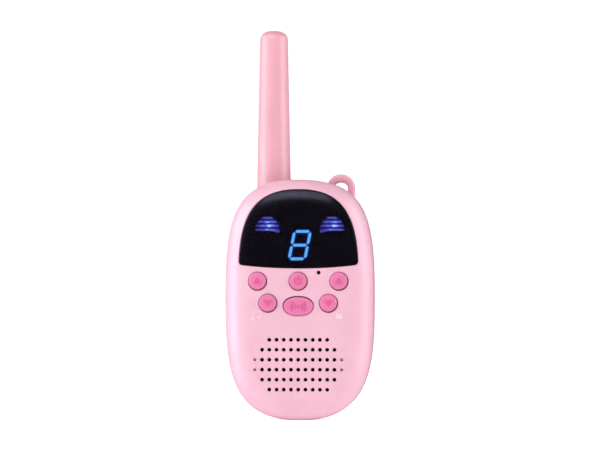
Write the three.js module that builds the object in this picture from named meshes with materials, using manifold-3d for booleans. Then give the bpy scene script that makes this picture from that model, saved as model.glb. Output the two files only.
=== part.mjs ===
// A toy walkie talkie as a three.js scene graph, one named mesh for each piece of the assembly.
// Millimetres. X is across, the front faces -Y, Z is up. The origin is the middle of the small
// flat foot under the body.
import * as THREE from "three";
import { mergeVertices } from "three/addons/utils/BufferGeometryUtils.js";
import Module from "manifold-3d";

const wasm = await Module();
wasm.setup();

// ------------------------------------------------------------------ driving dimensions

// The body: a soap-bar shape, drawn as one outline that draws in over the rounded edges.
const BODY_WIDTH = 59.2;
const BODY_HEIGHT = 96;
const FRONT_DEPTH = 12; // from the parting plane to the front face
const BACK_DEPTH = 16; // from the parting plane to the back face
const PARTING_Y = -2;
const EDGE_WIDTH = 11; // how far in from the outline the rounded edges reach
const FRONT_EDGE_DEPTH = 9;
const BACK_EDGE_DEPTH = 7;
const WALL = 2.6;
const FOOT_CUT = 0.15; // trimmed off the bottom of the outline, which leaves the flat foot
const GAP = 0.3; // clearance between pieces that lie against each other

// The display window.
const LENS_RIM_TOP = 3.8; // from the lens up to the top of the body
const LENS_RIM_SIDE = 5.75; // from the lens out to the side of the body
const LENS_HEIGHT = 31.6;
const LENS_THICK = 1.2;
const LENS_SINK = 0.15;
const LENS_LEDGE = 2;
const MASK_THICK = 0.8;
const DISPLAY_X = 0.5; // the digit and the lamps sit a little to the right of the middle
const DIGIT_RISE = 9.3; // from the bottom of the lens to the digit's middle
const DIGIT_HEIGHT = 12;
const DIGIT_WIDTH = 7.4;
const DIGIT_BAR = 1.3;
const DIGIT_SLANT = 0.2; // sideways lean for each unit of height
const EYE_X = 12.9; // from the display's middle to each eye's middle
const EYE_RISE = 17.8; // from the bottom of the lens to an eye's middle
const EYE_WIDTH = 9.8;
const EYE_STRIPES = 4;
const EYE_STRIPE_PITCH = 1.6;
const EYE_STRIPE_THICK = 0.8;
const LED_RADIUS = 1.5;

// The keys.
const KEY_HOLE_RADIUS = 3.8;
const KEY_SPACING = 0.45; // between the flanges of two keys
const KEY_STAGGER = 4.14; // how far the upper keys stand outside the lower ones
const TALK_HALF_WIDTH = 6.2;
const TALK_HALF_HEIGHT = 4;
const KEY_PROUD = 0.8;
const KEY_FLANGE = 0.8;
const KEY_SEAT = 0.5; // from the inside of the shell to a key's flange, clear of the curve
const KEY_TRAVEL = 1;
const ICON_RAISE = 0.25;
const ICON_SINK = 0.2; // how far a raised sign reaches into its cap
const ICON_LINE = 0.46; // line width of the power and sending signs
const ARROW_HALF_WIDTH = 1.55;
const ARROW_BASE = 1; // from the key's middle to the arrow's flat side
const ARROW_TIP = 1.4; // from the key's middle to the arrow's tip
const POWER_RADIUS = 1.4;
const POWER_BAR = [0.2, 2]; // lower and upper end of the power sign's bar
const WAVE_RADII = [1.7, 2.9];
const SENDING_DOT_RADIUS = 0.62;
const MAT_THICK = 0.8;

// The speaker and microphone.
const SPEAKER_RADIUS = 14;
const GRILLE_Z = 22.4; // height of the speaker's middle
const GRILLE_HOLE_RADIUS = 0.7;
const GRILLE_PITCH_X = 2.88;
const GRILLE_PITCH_Z = 3.96;
const GRILLE_ROWS = [9, 11, 11, 11, 11, 9];
const MIC_X = 8.1;
const MIC_DROP = 0.9; // from the lens down to the hole's edge
const MIC_RADIUS = 1.5;
const MIC_HOLE_RADIUS = 0.7;
const MIC_BOOT_WALL = 0.5;

// The battery compartment, for three AAA cells side by side.
const CELL_RADIUS = 5.25;
const CELL_LENGTH = 44.5;
const CELL_COUNT = 3;
const CELL_SPACING = 0.5; // between two cells
const CELL_END_ROOM = 3.25; // for a contact, at each end of a cell
const WELL_WALL = 1.5;
const WELL_BOTTOM = 9.5;
const DOOR_THICK = 2.2;
const DOOR_OVERLAP = 1.5; // how far the door covers the compartment's rim
const TONGUE_WIDTH = 1;
const TONGUE_THICK = 1;

// The antenna and the wrist-strap loop.
const ANTENNA_HEIGHT = 155.8; // top of the antenna
const ANTENNA_BASE_RADIUS = 6.7;
const ANTENNA_TIP_RADIUS = 5.5;
const ANTENNA_TIP_ROUND = 3.4;
const ANTENNA_BORE_RADIUS = 3.4;
const COIL_RADIUS = 2.3;
const COIL_WIRE = 0.5;
const COIL_TURNS = 7;
const COIL_END_ROOM = 2.2; // from the coil up to the end of the bore
const ANTENNA_CAP = 9; // solid plastic above the bore
const ANTENNA_PEG = 5; // height of the peg that the coil stands on
const LOOP_RADIUS = 5.6;
const LOOP_HOLE = [2.8, 2.3]; // half of its width and height
const LOOP_THICK = 4;

// The belt clip.
const CLIP_HALF_WIDTH = 8.5;
const CLIP_THICK = 1.8;
const CLIP_LENGTH = 44; // from the pin down to the tip
const CLIP_TAB = 8; // from the pin up to the top of the thumb tab
const CLIP_STANDOFF = 5.2; // room for a belt
const CLIP_PAD = [12, 24]; // the raised flat pad that presses on a belt, across and up
const CLIP_PAD_RAISE = 0.4;
const CLIP_PIN_RADIUS = 1;
const CLIP_BARREL_RADIUS = 2.2;
const CLIP_LUG = 3;
const CLIP_SPRING_WIRE = 0.3;
const PIN_CLEARANCE = 0.1;

// The circuit board and the screws.
const BOARD_THICK = 1.4;
const SCREW_RADIUS = 1;
const BOARD_SCREW_RADIUS = 0.8;
const SCREW_HEAD_RADIUS = 2.1;
const SCREW_HEAD_DEPTH = 1.4;
const SCREW_BITE = 7; // how far a case screw reaches into its front pillar
const PILLAR_RADIUS = 2.8;
const PILLAR_INSET = [7, 6.3]; // in from the body's side, for the lower and the upper pair
const POST_RADIUS = 1.6;
const POST_CLEARANCE = 0.97; // from a post to the flange of the key beside it
const BOARD_MARGIN = 0.2; // of the board below what it carries
const RADIO_MODULE_SIZE = 12;

// How finely curves are drawn.
const OUTLINE_STEPS = 56;
const FRONT_EDGE_STEPS = 4;
const BACK_EDGE_STEPS = 4;
const CAVITY_EDGE_STEPS = 2;
const ROUND = 16;
const SMALL_ROUND = 8;
const GRILLE_SIDES = 6;
const WIRE_SIDES = 5;
const STEPS_PER_TURN = 8;
const LEAD_STEPS = 10;

// ------------------------------------------------------------------ sizes worked out

const HALF_WIDTH = BODY_WIDTH / 2;
const FRONT_Y = PARTING_Y - FRONT_DEPTH;
const BACK_Y = PARTING_Y + BACK_DEPTH;
const WAIST_Z = 0.527 * BODY_HEIGHT; // the widest height
const INNER_FRONT_Y = FRONT_Y + WALL;

const KEY_TOP_Y = FRONT_Y - KEY_PROUD;
const FLANGE_FRONT_Y = INNER_FRONT_Y + KEY_SEAT;
const CAP_BACK_Y = FLANGE_FRONT_Y + KEY_FLANGE;
const DOME_FRONT_Y = CAP_BACK_Y + GAP;
const DOME_DEPTH = 2.2;
const DOME_BACK_Y = DOME_FRONT_Y + DOME_DEPTH;
const BOARD_FRONT_Y = DOME_BACK_Y + KEY_TRAVEL + GAP;
const BOARD_BACK_Y = BOARD_FRONT_Y + BOARD_THICK;
const LENS_BACK_Y = FRONT_Y + LENS_SINK + LENS_THICK;
const MASK_FRONT_Y = INNER_FRONT_Y + GAP;

const LENS_TOP_Z = BODY_HEIGHT - LENS_RIM_TOP;
const LENS_BOTTOM_Z = LENS_TOP_Z - LENS_HEIGHT;
const LENS_HALF_WIDTH = HALF_WIDTH - LENS_RIM_SIDE;
const DIGIT_Z = LENS_BOTTOM_Z + DIGIT_RISE;
const EYE_Z = LENS_BOTTOM_Z + EYE_RISE;
const LAMP_Z = EYE_Z - EYE_STRIPE_PITCH / 2; // behind the second stripe from the bottom

// The keys hang below the lens and lie flange beside flange.
const FLANGE_RADIUS = KEY_HOLE_RADIUS + KEY_FLANGE;
const KEY_PITCH = 2 * FLANGE_RADIUS + KEY_SPACING;
const UPPER_KEYS_Z = LENS_BOTTOM_Z - KEY_SPACING - FLANGE_RADIUS;
const LOWER_KEYS_Z = UPPER_KEYS_Z - Math.sqrt(KEY_PITCH ** 2 - KEY_STAGGER ** 2);
const TALK_Z = UPPER_KEYS_Z - FLANGE_RADIUS - KEY_SPACING - KEY_FLANGE - TALK_HALF_HEIGHT;
const LOWER_KEYS_X = TALK_HALF_WIDTH + KEY_FLANGE + KEY_SPACING + FLANGE_RADIUS;
const UPPER_KEYS_X = LOWER_KEYS_X + KEY_STAGGER;
const MIC_Z = LENS_BOTTOM_Z - MIC_DROP - MIC_HOLE_RADIUS;

const DOOR_UNDER_Y = BACK_Y - DOOR_THICK;
const CELL_Y = DOOR_UNDER_Y - GAP - CELL_RADIUS;
const WELL_FLOOR_Y = CELL_Y - CELL_RADIUS - GAP;
const CELL_PITCH = 2 * CELL_RADIUS + CELL_SPACING;
const WELL_HALF_WIDTH = ((CELL_COUNT - 1) * CELL_PITCH) / 2 + CELL_RADIUS + 2 * GAP;
const WELL_LENGTH = CELL_LENGTH + 2 * CELL_END_ROOM;
const WELL_TOP = WELL_BOTTOM + WELL_LENGTH;
const DOOR_HALF_WIDTH = WELL_HALF_WIDTH + DOOR_OVERLAP;
const DOOR_TOP = WELL_TOP + DOOR_OVERLAP;
const TONGUE_BOTTOM = WELL_BOTTOM + 5;

const ANTENNA_X = -0.368 * HALF_WIDTH;
const ANTENNA_Y = PARTING_Y + ANTENNA_BASE_RADIUS + 0.7;
const ANTENNA_SEAT_Z = BODY_HEIGHT - 7.7;
const RADIO_MODULE_X = ANTENNA_X + 1.9;
const LOOP_X = 0.546 * HALF_WIDTH;
const LOOP_Z = BODY_HEIGHT - 3.4;
const LOOP_Y = PARTING_Y + 4;

const CLIP_Y = BACK_Y + CLIP_BARREL_RADIUS + 0.8;
const CLIP_Z = BODY_HEIGHT - 12;
const CLIP_INNER_Y = BACK_Y + CLIP_STANDOFF;
const CLIP_OUTER_Y = CLIP_INNER_Y + CLIP_THICK;

const PILLARS = [0.375 * BODY_HEIGHT, 0.6875 * BODY_HEIGHT].flatMap((z, pair) => [
  [-HALF_WIDTH + PILLAR_INSET[pair], z],
  [HALF_WIDTH - PILLAR_INSET[pair], z],
]);
const SCREW_SEAT_Y = PARTING_Y + 6;
const BOARD_HALF_WIDTH = HALF_WIDTH - PILLAR_INSET[1] - PILLAR_RADIUS - 2 * GAP;
const POST_X = BOARD_HALF_WIDTH - POST_RADIUS;
const POST_REACH = FLANGE_RADIUS + POST_CLEARANCE + POST_RADIUS;
// How far a post stands below the key beside it. One that is clear of the key's side needn't.
const POST_DROP = Math.sqrt(Math.max(0, POST_REACH ** 2 - (POST_X - LOWER_KEYS_X) ** 2));
const POST_Z = LOWER_KEYS_Z - POST_DROP;
const POSTS = [
  [-POST_X, POST_Z],
  [POST_X, POST_Z],
];
const BOARD_BOTTOM_Z = Math.min(TALK_Z - TALK_HALF_HEIGHT, POST_Z - POST_RADIUS) - BOARD_MARGIN;
const BOARD_TOP_Z = LENS_TOP_Z - 8.2;

// ------------------------------------------------------------------ finishes

const SHELL_PINK = { color: 0xf8c3d7, roughness: 0.38, metalness: 0 };
const BACK_PINK = { color: 0xf2abba, roughness: 0.42, metalness: 0 };
const KEY_PINK = { color: 0xf37fb0, roughness: 0.45, metalness: 0 };
const SMOKED = { color: 0x16121a, roughness: 0.08, metalness: 0 };
const BLACK = { color: 0x101014, roughness: 0.6, metalness: 0 };
const BLUE_LIGHT = { color: 0x64b4f5, roughness: 0.4, metalness: 0 };
const EYE_LIGHT = { color: 0x5a50b4, roughness: 0.4, metalness: 0 };
const CLEAR = { color: 0xdfe8f5, roughness: 0.15, metalness: 0 };
const SILICONE = { color: 0xd8d6d2, roughness: 0.7, metalness: 0 };
const BOARD_GREEN = { color: 0x1f6b3a, roughness: 0.5, metalness: 0 };
const STEEL = { color: 0xb9bcc0, roughness: 0.3, metalness: 1 };
const MAGNET = { color: 0x3a3a3e, roughness: 0.5, metalness: 0.6 };
const PAPER = { color: 0x2b2b2d, roughness: 0.9, metalness: 0 };
const CELL_WRAP = { color: 0x8f9aa8, roughness: 0.35, metalness: 0.2 };
const WIRE_RED = { color: 0xa8262b, roughness: 0.5, metalness: 0 };

// ------------------------------------------------------------------ solids

// A geometry as a manifold-3d solid with its faces turned outwards.
function solid(geometry) {
  const bare = new THREE.BufferGeometry();
  bare.setAttribute("position", geometry.getAttribute("position"));
  bare.setIndex(geometry.getIndex());
  const merged = mergeVertices(bare, 1e-4);
  const corners = Array.from(merged.getIndex().array);
  const faces = [];
  for (let i = 0; i < corners.length; i += 3) {
    const [a, b, c] = corners.slice(i, i + 3);
    if (a !== b && b !== c && c !== a) faces.push(a, b, c);
  }
  const build = (triangles) =>
    new wasm.Manifold(
      new wasm.Mesh({
        numProp: 3,
        vertProperties: merged.getAttribute("position").array,
        triVerts: new Uint32Array(triangles),
      }),
    );
  const made = build(faces);
  return made.volume() < 0 ? build(faces.reverse()) : made;
}

const join = (first, ...others) => others.reduce((all, next) => all.add(next), first);
const cut = (first, ...others) => others.reduce((all, next) => all.subtract(next), first);

// A named mesh from a solid or a geometry.
function piece(name, shape, finish) {
  const data = (shape.isBufferGeometry ? solid(shape) : shape).getMesh();
  const geometry = new THREE.BufferGeometry();
  geometry.setAttribute("position", new THREE.BufferAttribute(data.vertProperties, 3));
  geometry.setIndex(new THREE.BufferAttribute(data.triVerts, 1));
  geometry.computeVertexNormals();
  const mesh = new THREE.Mesh(geometry, new THREE.MeshStandardMaterial(finish));
  mesh.name = name;
  return mesh;
}

function group(x, y, z, ...children) {
  const made = new THREE.Group();
  made.position.set(x, y, z);
  made.add(...children);
  return made;
}

// A box between two values on each axis.
function box([x0, x1], [y0, y1], [z0, z1]) {
  const geometry = new THREE.BoxGeometry(x1 - x0, y1 - y0, z1 - z0);
  return solid(geometry.translate((x0 + x1) / 2, (y0 + y1) / 2, (z0 + z1) / 2));
}

// A round bar along Y.
function barY(x, z, radius, y0, y1, sides = ROUND) {
  const geometry = new THREE.CylinderGeometry(radius, radius, y1 - y0, sides);
  return solid(geometry.translate(x, (y0 + y1) / 2, z));
}

// A round bar along X.
function barX(y, z, radius, x0, x1, sides = ROUND) {
  const geometry = new THREE.CylinderGeometry(radius, radius, x1 - x0, sides);
  return solid(geometry.rotateZ(Math.PI / 2).translate((x0 + x1) / 2, y, z));
}

// A round bar along Z.
function barZ(x, y, radius, z0, z1, sides = ROUND) {
  const geometry = new THREE.CylinderGeometry(radius, radius, z1 - z0, sides);
  return solid(geometry.rotateX(Math.PI / 2).translate(x, y, (z0 + z1) / 2));
}

// A flat shape drawn in X and Z, given a thickness in Y.
function slab(shape, y0, y1, curveSegments = ROUND / 2) {
  const options = { depth: y1 - y0, bevelEnabled: false, curveSegments };
  const geometry = new THREE.ExtrudeGeometry(shape, options);
  return solid(geometry.rotateX(Math.PI / 2).translate(0, y1, 0));
}

// A turned piece about Y: its profile is a list of [radius, y].
function turned(profile, sides = ROUND) {
  const points = profile.map(([radius, y]) => new THREE.Vector2(radius, y));
  return solid(new THREE.LatheGeometry(points, sides));
}

// A turned piece about Z: its profile is a list of [radius, z].
function turnedUp(profile, sides = ROUND) {
  const points = profile.map(([radius, z]) => new THREE.Vector2(radius, z));
  return solid(new THREE.LatheGeometry(points, sides).rotateX(Math.PI / 2));
}

// A wire along a curve, its section a polygon of WIRE_SIDES.
function wire(curve, radius, steps) {
  const corners = Array.from({ length: WIRE_SIDES }, (_, i) => {
    const angle = (2 * Math.PI * i) / WIRE_SIDES;
    return [radius * Math.cos(angle), radius * Math.sin(angle)];
  });
  const options = { extrudePath: curve, steps, bevelEnabled: false };
  return solid(new THREE.ExtrudeGeometry(polygon(...corners), options));
}

// A coil about Z, with its ends cut square.
function coilSpring(radius, endRadius, height, turns, wireRadius) {
  const path = new Helix(radius, endRadius, height, turns);
  return wire(path, wireRadius, Math.ceil(turns * STEPS_PER_TURN));
}

// A helix about Z that can narrow as it climbs.
class Helix extends THREE.Curve {
  constructor(radius, endRadius, height, turns) {
    super();
    Object.assign(this, { radius, endRadius, height, turns });
  }
  getPoint(t, target = new THREE.Vector3()) {
    const angle = 2 * Math.PI * this.turns * t;
    const radius = this.radius + (this.endRadius - this.radius) * t;
    return target.set(radius * Math.cos(angle), radius * Math.sin(angle), this.height * t);
  }
}

function ellipse(halfWidth, halfHeight, x = 0, z = 0) {
  const shape = new THREE.Shape();
  shape.absellipse(x, z, halfWidth, halfHeight, 0, 2 * Math.PI);
  return shape;
}

function polygon(...corners) {
  return new THREE.Shape(corners.map(([x, z]) => new THREE.Vector2(x, z)));
}

// ------------------------------------------------------------------ the body's surface

// The body seen from the front: four curves, widest at the waist, fuller below than above.
function bodyOutline() {
  const bottom = -FOOT_CUT;
  const lowerSide = WAIST_Z - 0.545 * WAIST_Z;
  const upperSide = WAIST_Z + 0.68 * (BODY_HEIGHT - WAIST_Z);
  const shoulder = 0.875 * HALF_WIDTH;
  const shape = new THREE.Shape();
  shape.moveTo(0, bottom);
  shape.bezierCurveTo(HALF_WIDTH, bottom, HALF_WIDTH, lowerSide, HALF_WIDTH, WAIST_Z);
  shape.bezierCurveTo(HALF_WIDTH, upperSide, shoulder, BODY_HEIGHT, 0, BODY_HEIGHT);
  shape.bezierCurveTo(-shoulder, BODY_HEIGHT, -HALF_WIDTH, upperSide, -HALF_WIDTH, WAIST_Z);
  shape.bezierCurveTo(-HALF_WIDTH, lowerSide, -HALF_WIDTH, bottom, 0, bottom);
  return shape;
}

// A closed outline's points with their outward normals.
function pointsWithNormals(shape, steps) {
  const points = shape.getSpacedPoints(steps).slice(0, -1);
  return points.map((point, i) => {
    const before = points.at(i - 1);
    const after = points[(i + 1) % points.length];
    const along = after.clone().sub(before).normalize();
    return { point, normal: new THREE.Vector2(along.y, -along.x) };
  });
}

const OUTLINE = pointsWithNormals(bodyOutline(), OUTLINE_STEPS);

const ring = (inset, y) =>
  OUTLINE.map(({ point, normal }) => {
    const at = point.clone().addScaledVector(normal, -inset);
    return new THREE.Vector3(at.x, y, at.y);
  });

// Rings of equal count, joined in order and closed at both ends by a fan.
function loft(rings) {
  const count = rings[0].length;
  const points = rings.flat();
  const faces = [];
  for (let level = 0; level + 1 < rings.length; level += 1) {
    for (let i = 0; i < count; i += 1) {
      const next = (i + 1) % count;
      const low = level * count;
      const high = low + count;
      faces.push(low + i, low + next, high + i, low + next, high + next, high + i);
    }
  }
  const middle = (loop) => new THREE.Vector3(0, loop[0].y, WAIST_Z);
  const last = (rings.length - 1) * count;
  for (let i = 0; i < count; i += 1) {
    const next = (i + 1) % count;
    faces.push(points.length, next, i);
    faces.push(points.length + 1, last + i, last + next);
  }
  points.push(middle(rings[0]), middle(rings.at(-1)));
  const geometry = new THREE.BufferGeometry().setFromPoints(points);
  geometry.setIndex(faces);
  return solid(geometry);
}

// Half of the body, front or back, with its surface moved in by depth. The flat end lies at
// endY. A rounded edge is a quarter of an ellipse, EDGE_WIDTH wide.
function half(front, depth, endY, steps) {
  const side = front ? -1 : 1;
  const faceY = front ? FRONT_Y : BACK_Y;
  const edgeDepth = front ? FRONT_EDGE_DEPTH : BACK_EDGE_DEPTH;
  const edgeY = faceY - side * edgeDepth;
  const rings = [ring(depth, endY)];
  for (let step = 0; step <= steps; step += 1) {
    const angle = ((step / steps) * Math.PI) / 2;
    const inset = depth + (EDGE_WIDTH - depth) * (1 - Math.cos(angle));
    rings.push(ring(inset, edgeY + side * (edgeDepth - depth) * Math.sin(angle)));
  }
  return loft(rings);
}

// A sheet that follows the front surface, from one depth under it to another.
function frontSkin(from, to) {
  const outer = half(true, from, PARTING_Y, FRONT_EDGE_STEPS);
  return outer.subtract(half(true, to, PARTING_Y + 1, FRONT_EDGE_STEPS));
}

// The lens seen from the front, drawn in by inset: an arch over a gently bowed lower edge.
function lensShape(inset = 0) {
  const half = LENS_HALF_WIDTH - inset;
  const top = LENS_TOP_Z - inset;
  const bottom = LENS_BOTTOM_Z + inset;
  const corner = 1.9;
  const cornerRise = 1.2;
  const sideZ = bottom + cornerRise + corner;
  const arch = 0.67 * (top - sideZ);
  const shape = new THREE.Shape();
  shape.moveTo(0, bottom);
  shape.quadraticCurveTo(half / 2, bottom, half - corner, bottom + cornerRise);
  shape.quadraticCurveTo(half, bottom + cornerRise + 0.1, half, sideZ);
  shape.bezierCurveTo(half - 0.9, sideZ + arch, 0.71 * half, top, 0, top);
  shape.bezierCurveTo(-0.71 * half, top, -half + 0.9, sideZ + arch, -half, sideZ);
  shape.quadraticCurveTo(-half, bottom + cornerRise + 0.1, -half + corner, bottom + cornerRise);
  shape.quadraticCurveTo(-half / 2, bottom, 0, bottom);
  return shape;
}

// ------------------------------------------------------------------ keys

// The triangle of an up key, or with side = -1 of a down key.
const arrow = (side) => {
  const half = side * ARROW_HALF_WIDTH;
  return polygon([-half, -side * ARROW_BASE], [half, -side * ARROW_BASE], [0, side * ARROW_TIP]);
};

// A band along an arc about the middle of a key, ICON_LINE wide.
function arcBand(radius, start, end) {
  const band = new THREE.Shape();
  band.absarc(0, 0, radius + ICON_LINE / 2, start, end);
  band.absarc(0, 0, radius - ICON_LINE / 2, end, start, true);
  return band;
}

// The power sign: an open ring with an upright bar in its gap.
function powerIcon(y0, y1) {
  const gap = 0.6; // half of the ring's opening, as an angle
  const ring = arcBand(POWER_RADIUS, Math.PI / 2 + gap, Math.PI / 2 - gap + 2 * Math.PI);
  return join(slab(ring, y0, y1, 8), box([-ICON_LINE / 2, ICON_LINE / 2], [y0, y1], POWER_BAR));
}

// The sending sign: a dot between two pairs of waves.
function sendingIcon(y0, y1) {
  const reach = 0.7; // half of a wave's arc, as an angle
  const waves = WAVE_RADII.flatMap((radius) =>
    [0, Math.PI].map((turn) => slab(arcBand(radius, turn - reach, turn + reach), y0, y1, 4)),
  );
  return join(barY(0, 0, SENDING_DOT_RADIUS, y0, y1, SMALL_ROUND), ...waves);
}

const slabIcon = (shape) => (y0, y1) => slab(shape, y0, y1);

const KEYS = [
  { name: "channel_up", x: -UPPER_KEYS_X, z: UPPER_KEYS_Z, icon: slabIcon(arrow(1)) },
  { name: "channel_down", x: -LOWER_KEYS_X, z: LOWER_KEYS_Z, icon: slabIcon(arrow(-1)) },
  { name: "volume_up", x: UPPER_KEYS_X, z: UPPER_KEYS_Z, icon: slabIcon(arrow(1)) },
  { name: "volume_down", x: LOWER_KEYS_X, z: LOWER_KEYS_Z, icon: slabIcon(arrow(-1)) },
  { name: "power", x: 0, z: UPPER_KEYS_Z, icon: powerIcon },
  {
    name: "talk",
    x: 0,
    z: TALK_Z,
    icon: sendingIcon,
    halfWidth: TALK_HALF_WIDTH,
    halfHeight: TALK_HALF_HEIGHT,
  },
].map((key) => ({ halfWidth: KEY_HOLE_RADIUS, halfHeight: KEY_HOLE_RADIUS, ...key }));

// A key's outline in its own frame, wider or narrower than its hole by grow.
const keyOutline = (key, grow) => ellipse(key.halfWidth + grow, key.halfHeight + grow);

// A key's opening as a cutter in the body's frame.
const keyHole = (key, grow, y0, y1) =>
  slab(keyOutline(key, grow), y0, y1).translate([key.x, 0, key.z]);

// A cap with a stepped, rounded top, and a flange that keeps it in the shell.
function keyCap(key) {
  const shoulderY = KEY_TOP_Y + 0.5;
  return join(
    slab(keyOutline(key, -GAP - 0.4), KEY_TOP_Y, CAP_BACK_Y),
    slab(keyOutline(key, -GAP), shoulderY, CAP_BACK_Y),
    slab(keyOutline(key, KEY_FLANGE), FLANGE_FRONT_Y, CAP_BACK_Y),
    key.icon(KEY_TOP_Y - ICON_RAISE, KEY_TOP_Y + ICON_SINK),
  );
}

// The silicone dome under a cap, narrower where it meets the board.
function keyDome(key) {
  return join(
    slab(keyOutline(key, -GAP - 0.8), DOME_FRONT_Y, DOME_FRONT_Y + 1.2, SMALL_ROUND / 2),
    slab(keyOutline(key, -GAP - 1.4), DOME_FRONT_Y + 0.6, DOME_BACK_Y, SMALL_ROUND / 2),
  );
}

const keys = KEYS.map((key) =>
  group(
    key.x,
    0,
    key.z,
    piece(key.name + "_key", keyCap(key), KEY_PINK),
    piece(key.name + "_dome", keyDome(key), SILICONE),
  ),
);

// ------------------------------------------------------------------ casing

function grilleHoles() {
  const holes = GRILLE_ROWS.flatMap((count, row) => {
    const z = GRILLE_Z + (row - (GRILLE_ROWS.length - 1) / 2) * GRILLE_PITCH_Z;
    return Array.from({ length: count }, (_, i) => [(i - (count - 1) / 2) * GRILLE_PITCH_X, z]);
  });
  const cutters = holes.map(([x, z]) =>
    barY(x, z, GRILLE_HOLE_RADIUS, FRONT_Y - 1, INNER_FRONT_Y + 1, GRILLE_SIDES),
  );
  return join(...cutters);
}

function frontShell() {
  const endY = PARTING_Y - GAP / 2;
  const outer = half(true, 0, endY, FRONT_EDGE_STEPS);
  const cavity = half(true, WALL, PARTING_Y + 1, FRONT_EDGE_STEPS);
  const ringRadius = SPEAKER_RADIUS + GAP;
  const speakerRing = cut(
    barY(0, GRILLE_Z, ringRadius + 1.1, INNER_FRONT_Y - 1, INNER_FRONT_Y + 2.4, 2 * ROUND),
    barY(0, GRILLE_Z, ringRadius, INNER_FRONT_Y - 2, INNER_FRONT_Y + 3, 2 * ROUND),
  );
  const pillars = PILLARS.map(([x, z]) => barY(x, z, PILLAR_RADIUS, FRONT_Y + 1, endY));
  const posts = POSTS.map(([x, z]) =>
    barY(x, z, POST_RADIUS, FRONT_Y + 1, BOARD_FRONT_Y - GAP, SMALL_ROUND),
  );
  const inside = half(true, WALL - 0.3, endY, FRONT_EDGE_STEPS);
  const fittings = join(speakerRing, ...pillars, ...posts).intersect(inside);
  const recess = frontSkin(-1, LENS_SINK + LENS_THICK + GAP);
  const skin = cut(
    outer,
    cavity,
    recess.intersect(slab(lensShape(), FRONT_Y - 1, PARTING_Y)),
    slab(lensShape(LENS_LEDGE), FRONT_Y - 1, PARTING_Y),
  );
  const pilots = PILLARS.map(([x, z]) =>
    barY(x, z, SCREW_RADIUS + PIN_CLEARANCE, endY - SCREW_BITE - GAP, endY + 1, SMALL_ROUND),
  );
  const postPilots = POSTS.map(([x, z]) =>
    barY(x, z, BOARD_SCREW_RADIUS + PIN_CLEARANCE, BOARD_FRONT_Y - 4, BOARD_FRONT_Y, SMALL_ROUND),
  );
  return cut(
    join(skin, fittings),
    ...KEYS.map((key) => keyHole(key, 0, FRONT_Y - 1, INNER_FRONT_Y + 1)),
    ...KEYS.map((key) => keyHole(key, KEY_FLANGE + GAP, FLANGE_FRONT_Y - GAP, CAP_BACK_Y)),
    barY(MIC_X, MIC_Z, MIC_HOLE_RADIUS, FRONT_Y - 1, INNER_FRONT_Y + 1, SMALL_ROUND),
    grilleHoles(),
    ...pilots,
    ...postPilots,
    box([-HALF_WIDTH, HALF_WIDTH], [FRONT_Y, PARTING_Y], [-1, 0]),
  );
}

// The ear for a wrist strap. Its hole opens over the body's top edge.
function strapLoop() {
  const ear = join(
    barY(LOOP_X, LOOP_Z, LOOP_RADIUS, LOOP_Y, LOOP_Y + LOOP_THICK),
    box(
      [LOOP_X - LOOP_RADIUS, LOOP_X + LOOP_RADIUS],
      [LOOP_Y, LOOP_Y + LOOP_THICK],
      [LOOP_Z - 2 * LOOP_RADIUS, LOOP_Z],
    ),
  );
  const hole = ellipse(...LOOP_HOLE, LOOP_X, LOOP_Z);
  return ear.subtract(slab(hole, LOOP_Y - 1, LOOP_Y + LOOP_THICK + 1));
}

// The socket that the antenna stands in, flush with the top of the body.
function antennaSocket() {
  const radius = ANTENNA_BASE_RADIUS + GAP + 1.6;
  return barZ(ANTENNA_X, ANTENNA_Y, radius, ANTENNA_SEAT_Z - 2, BODY_HEIGHT, 1.5 * ROUND);
}

// The open box for the cells, with a thick rim that the door's tongues run in.
function batteryWell() {
  const rimHalfWidth = DOOR_HALF_WIDTH + TONGUE_WIDTH + 1.8;
  const wellOuter = WELL_HALF_WIDTH + WELL_WALL;
  const zOuter = [WELL_BOTTOM - WELL_WALL, WELL_TOP + WELL_WALL];
  return join(
    box([-wellOuter, wellOuter], [WELL_FLOOR_Y - WELL_WALL, DOOR_UNDER_Y], zOuter),
    box([-rimHalfWidth, rimHalfWidth], [DOOR_UNDER_Y - 1.9, BACK_Y - 1], zOuter),
  );
}

function clipLugs() {
  return [-1, 1].map((side) => {
    const near = side * (CLIP_HALF_WIDTH + GAP);
    const far = near + side * CLIP_LUG;
    const across = [Math.min(near, far), Math.max(near, far)];
    const lug = join(
      barX(CLIP_Y, CLIP_Z, CLIP_BARREL_RADIUS + 0.6, ...across),
      box(across, [BACK_Y - WALL, CLIP_Y], [CLIP_Z - 2.8, CLIP_Z + 2.8]),
    );
    const holeRadius = CLIP_PIN_RADIUS + PIN_CLEARANCE;
    return lug.subtract(barX(CLIP_Y, CLIP_Z, holeRadius, across[0] - 1, across[1] + 1));
  });
}

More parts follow.
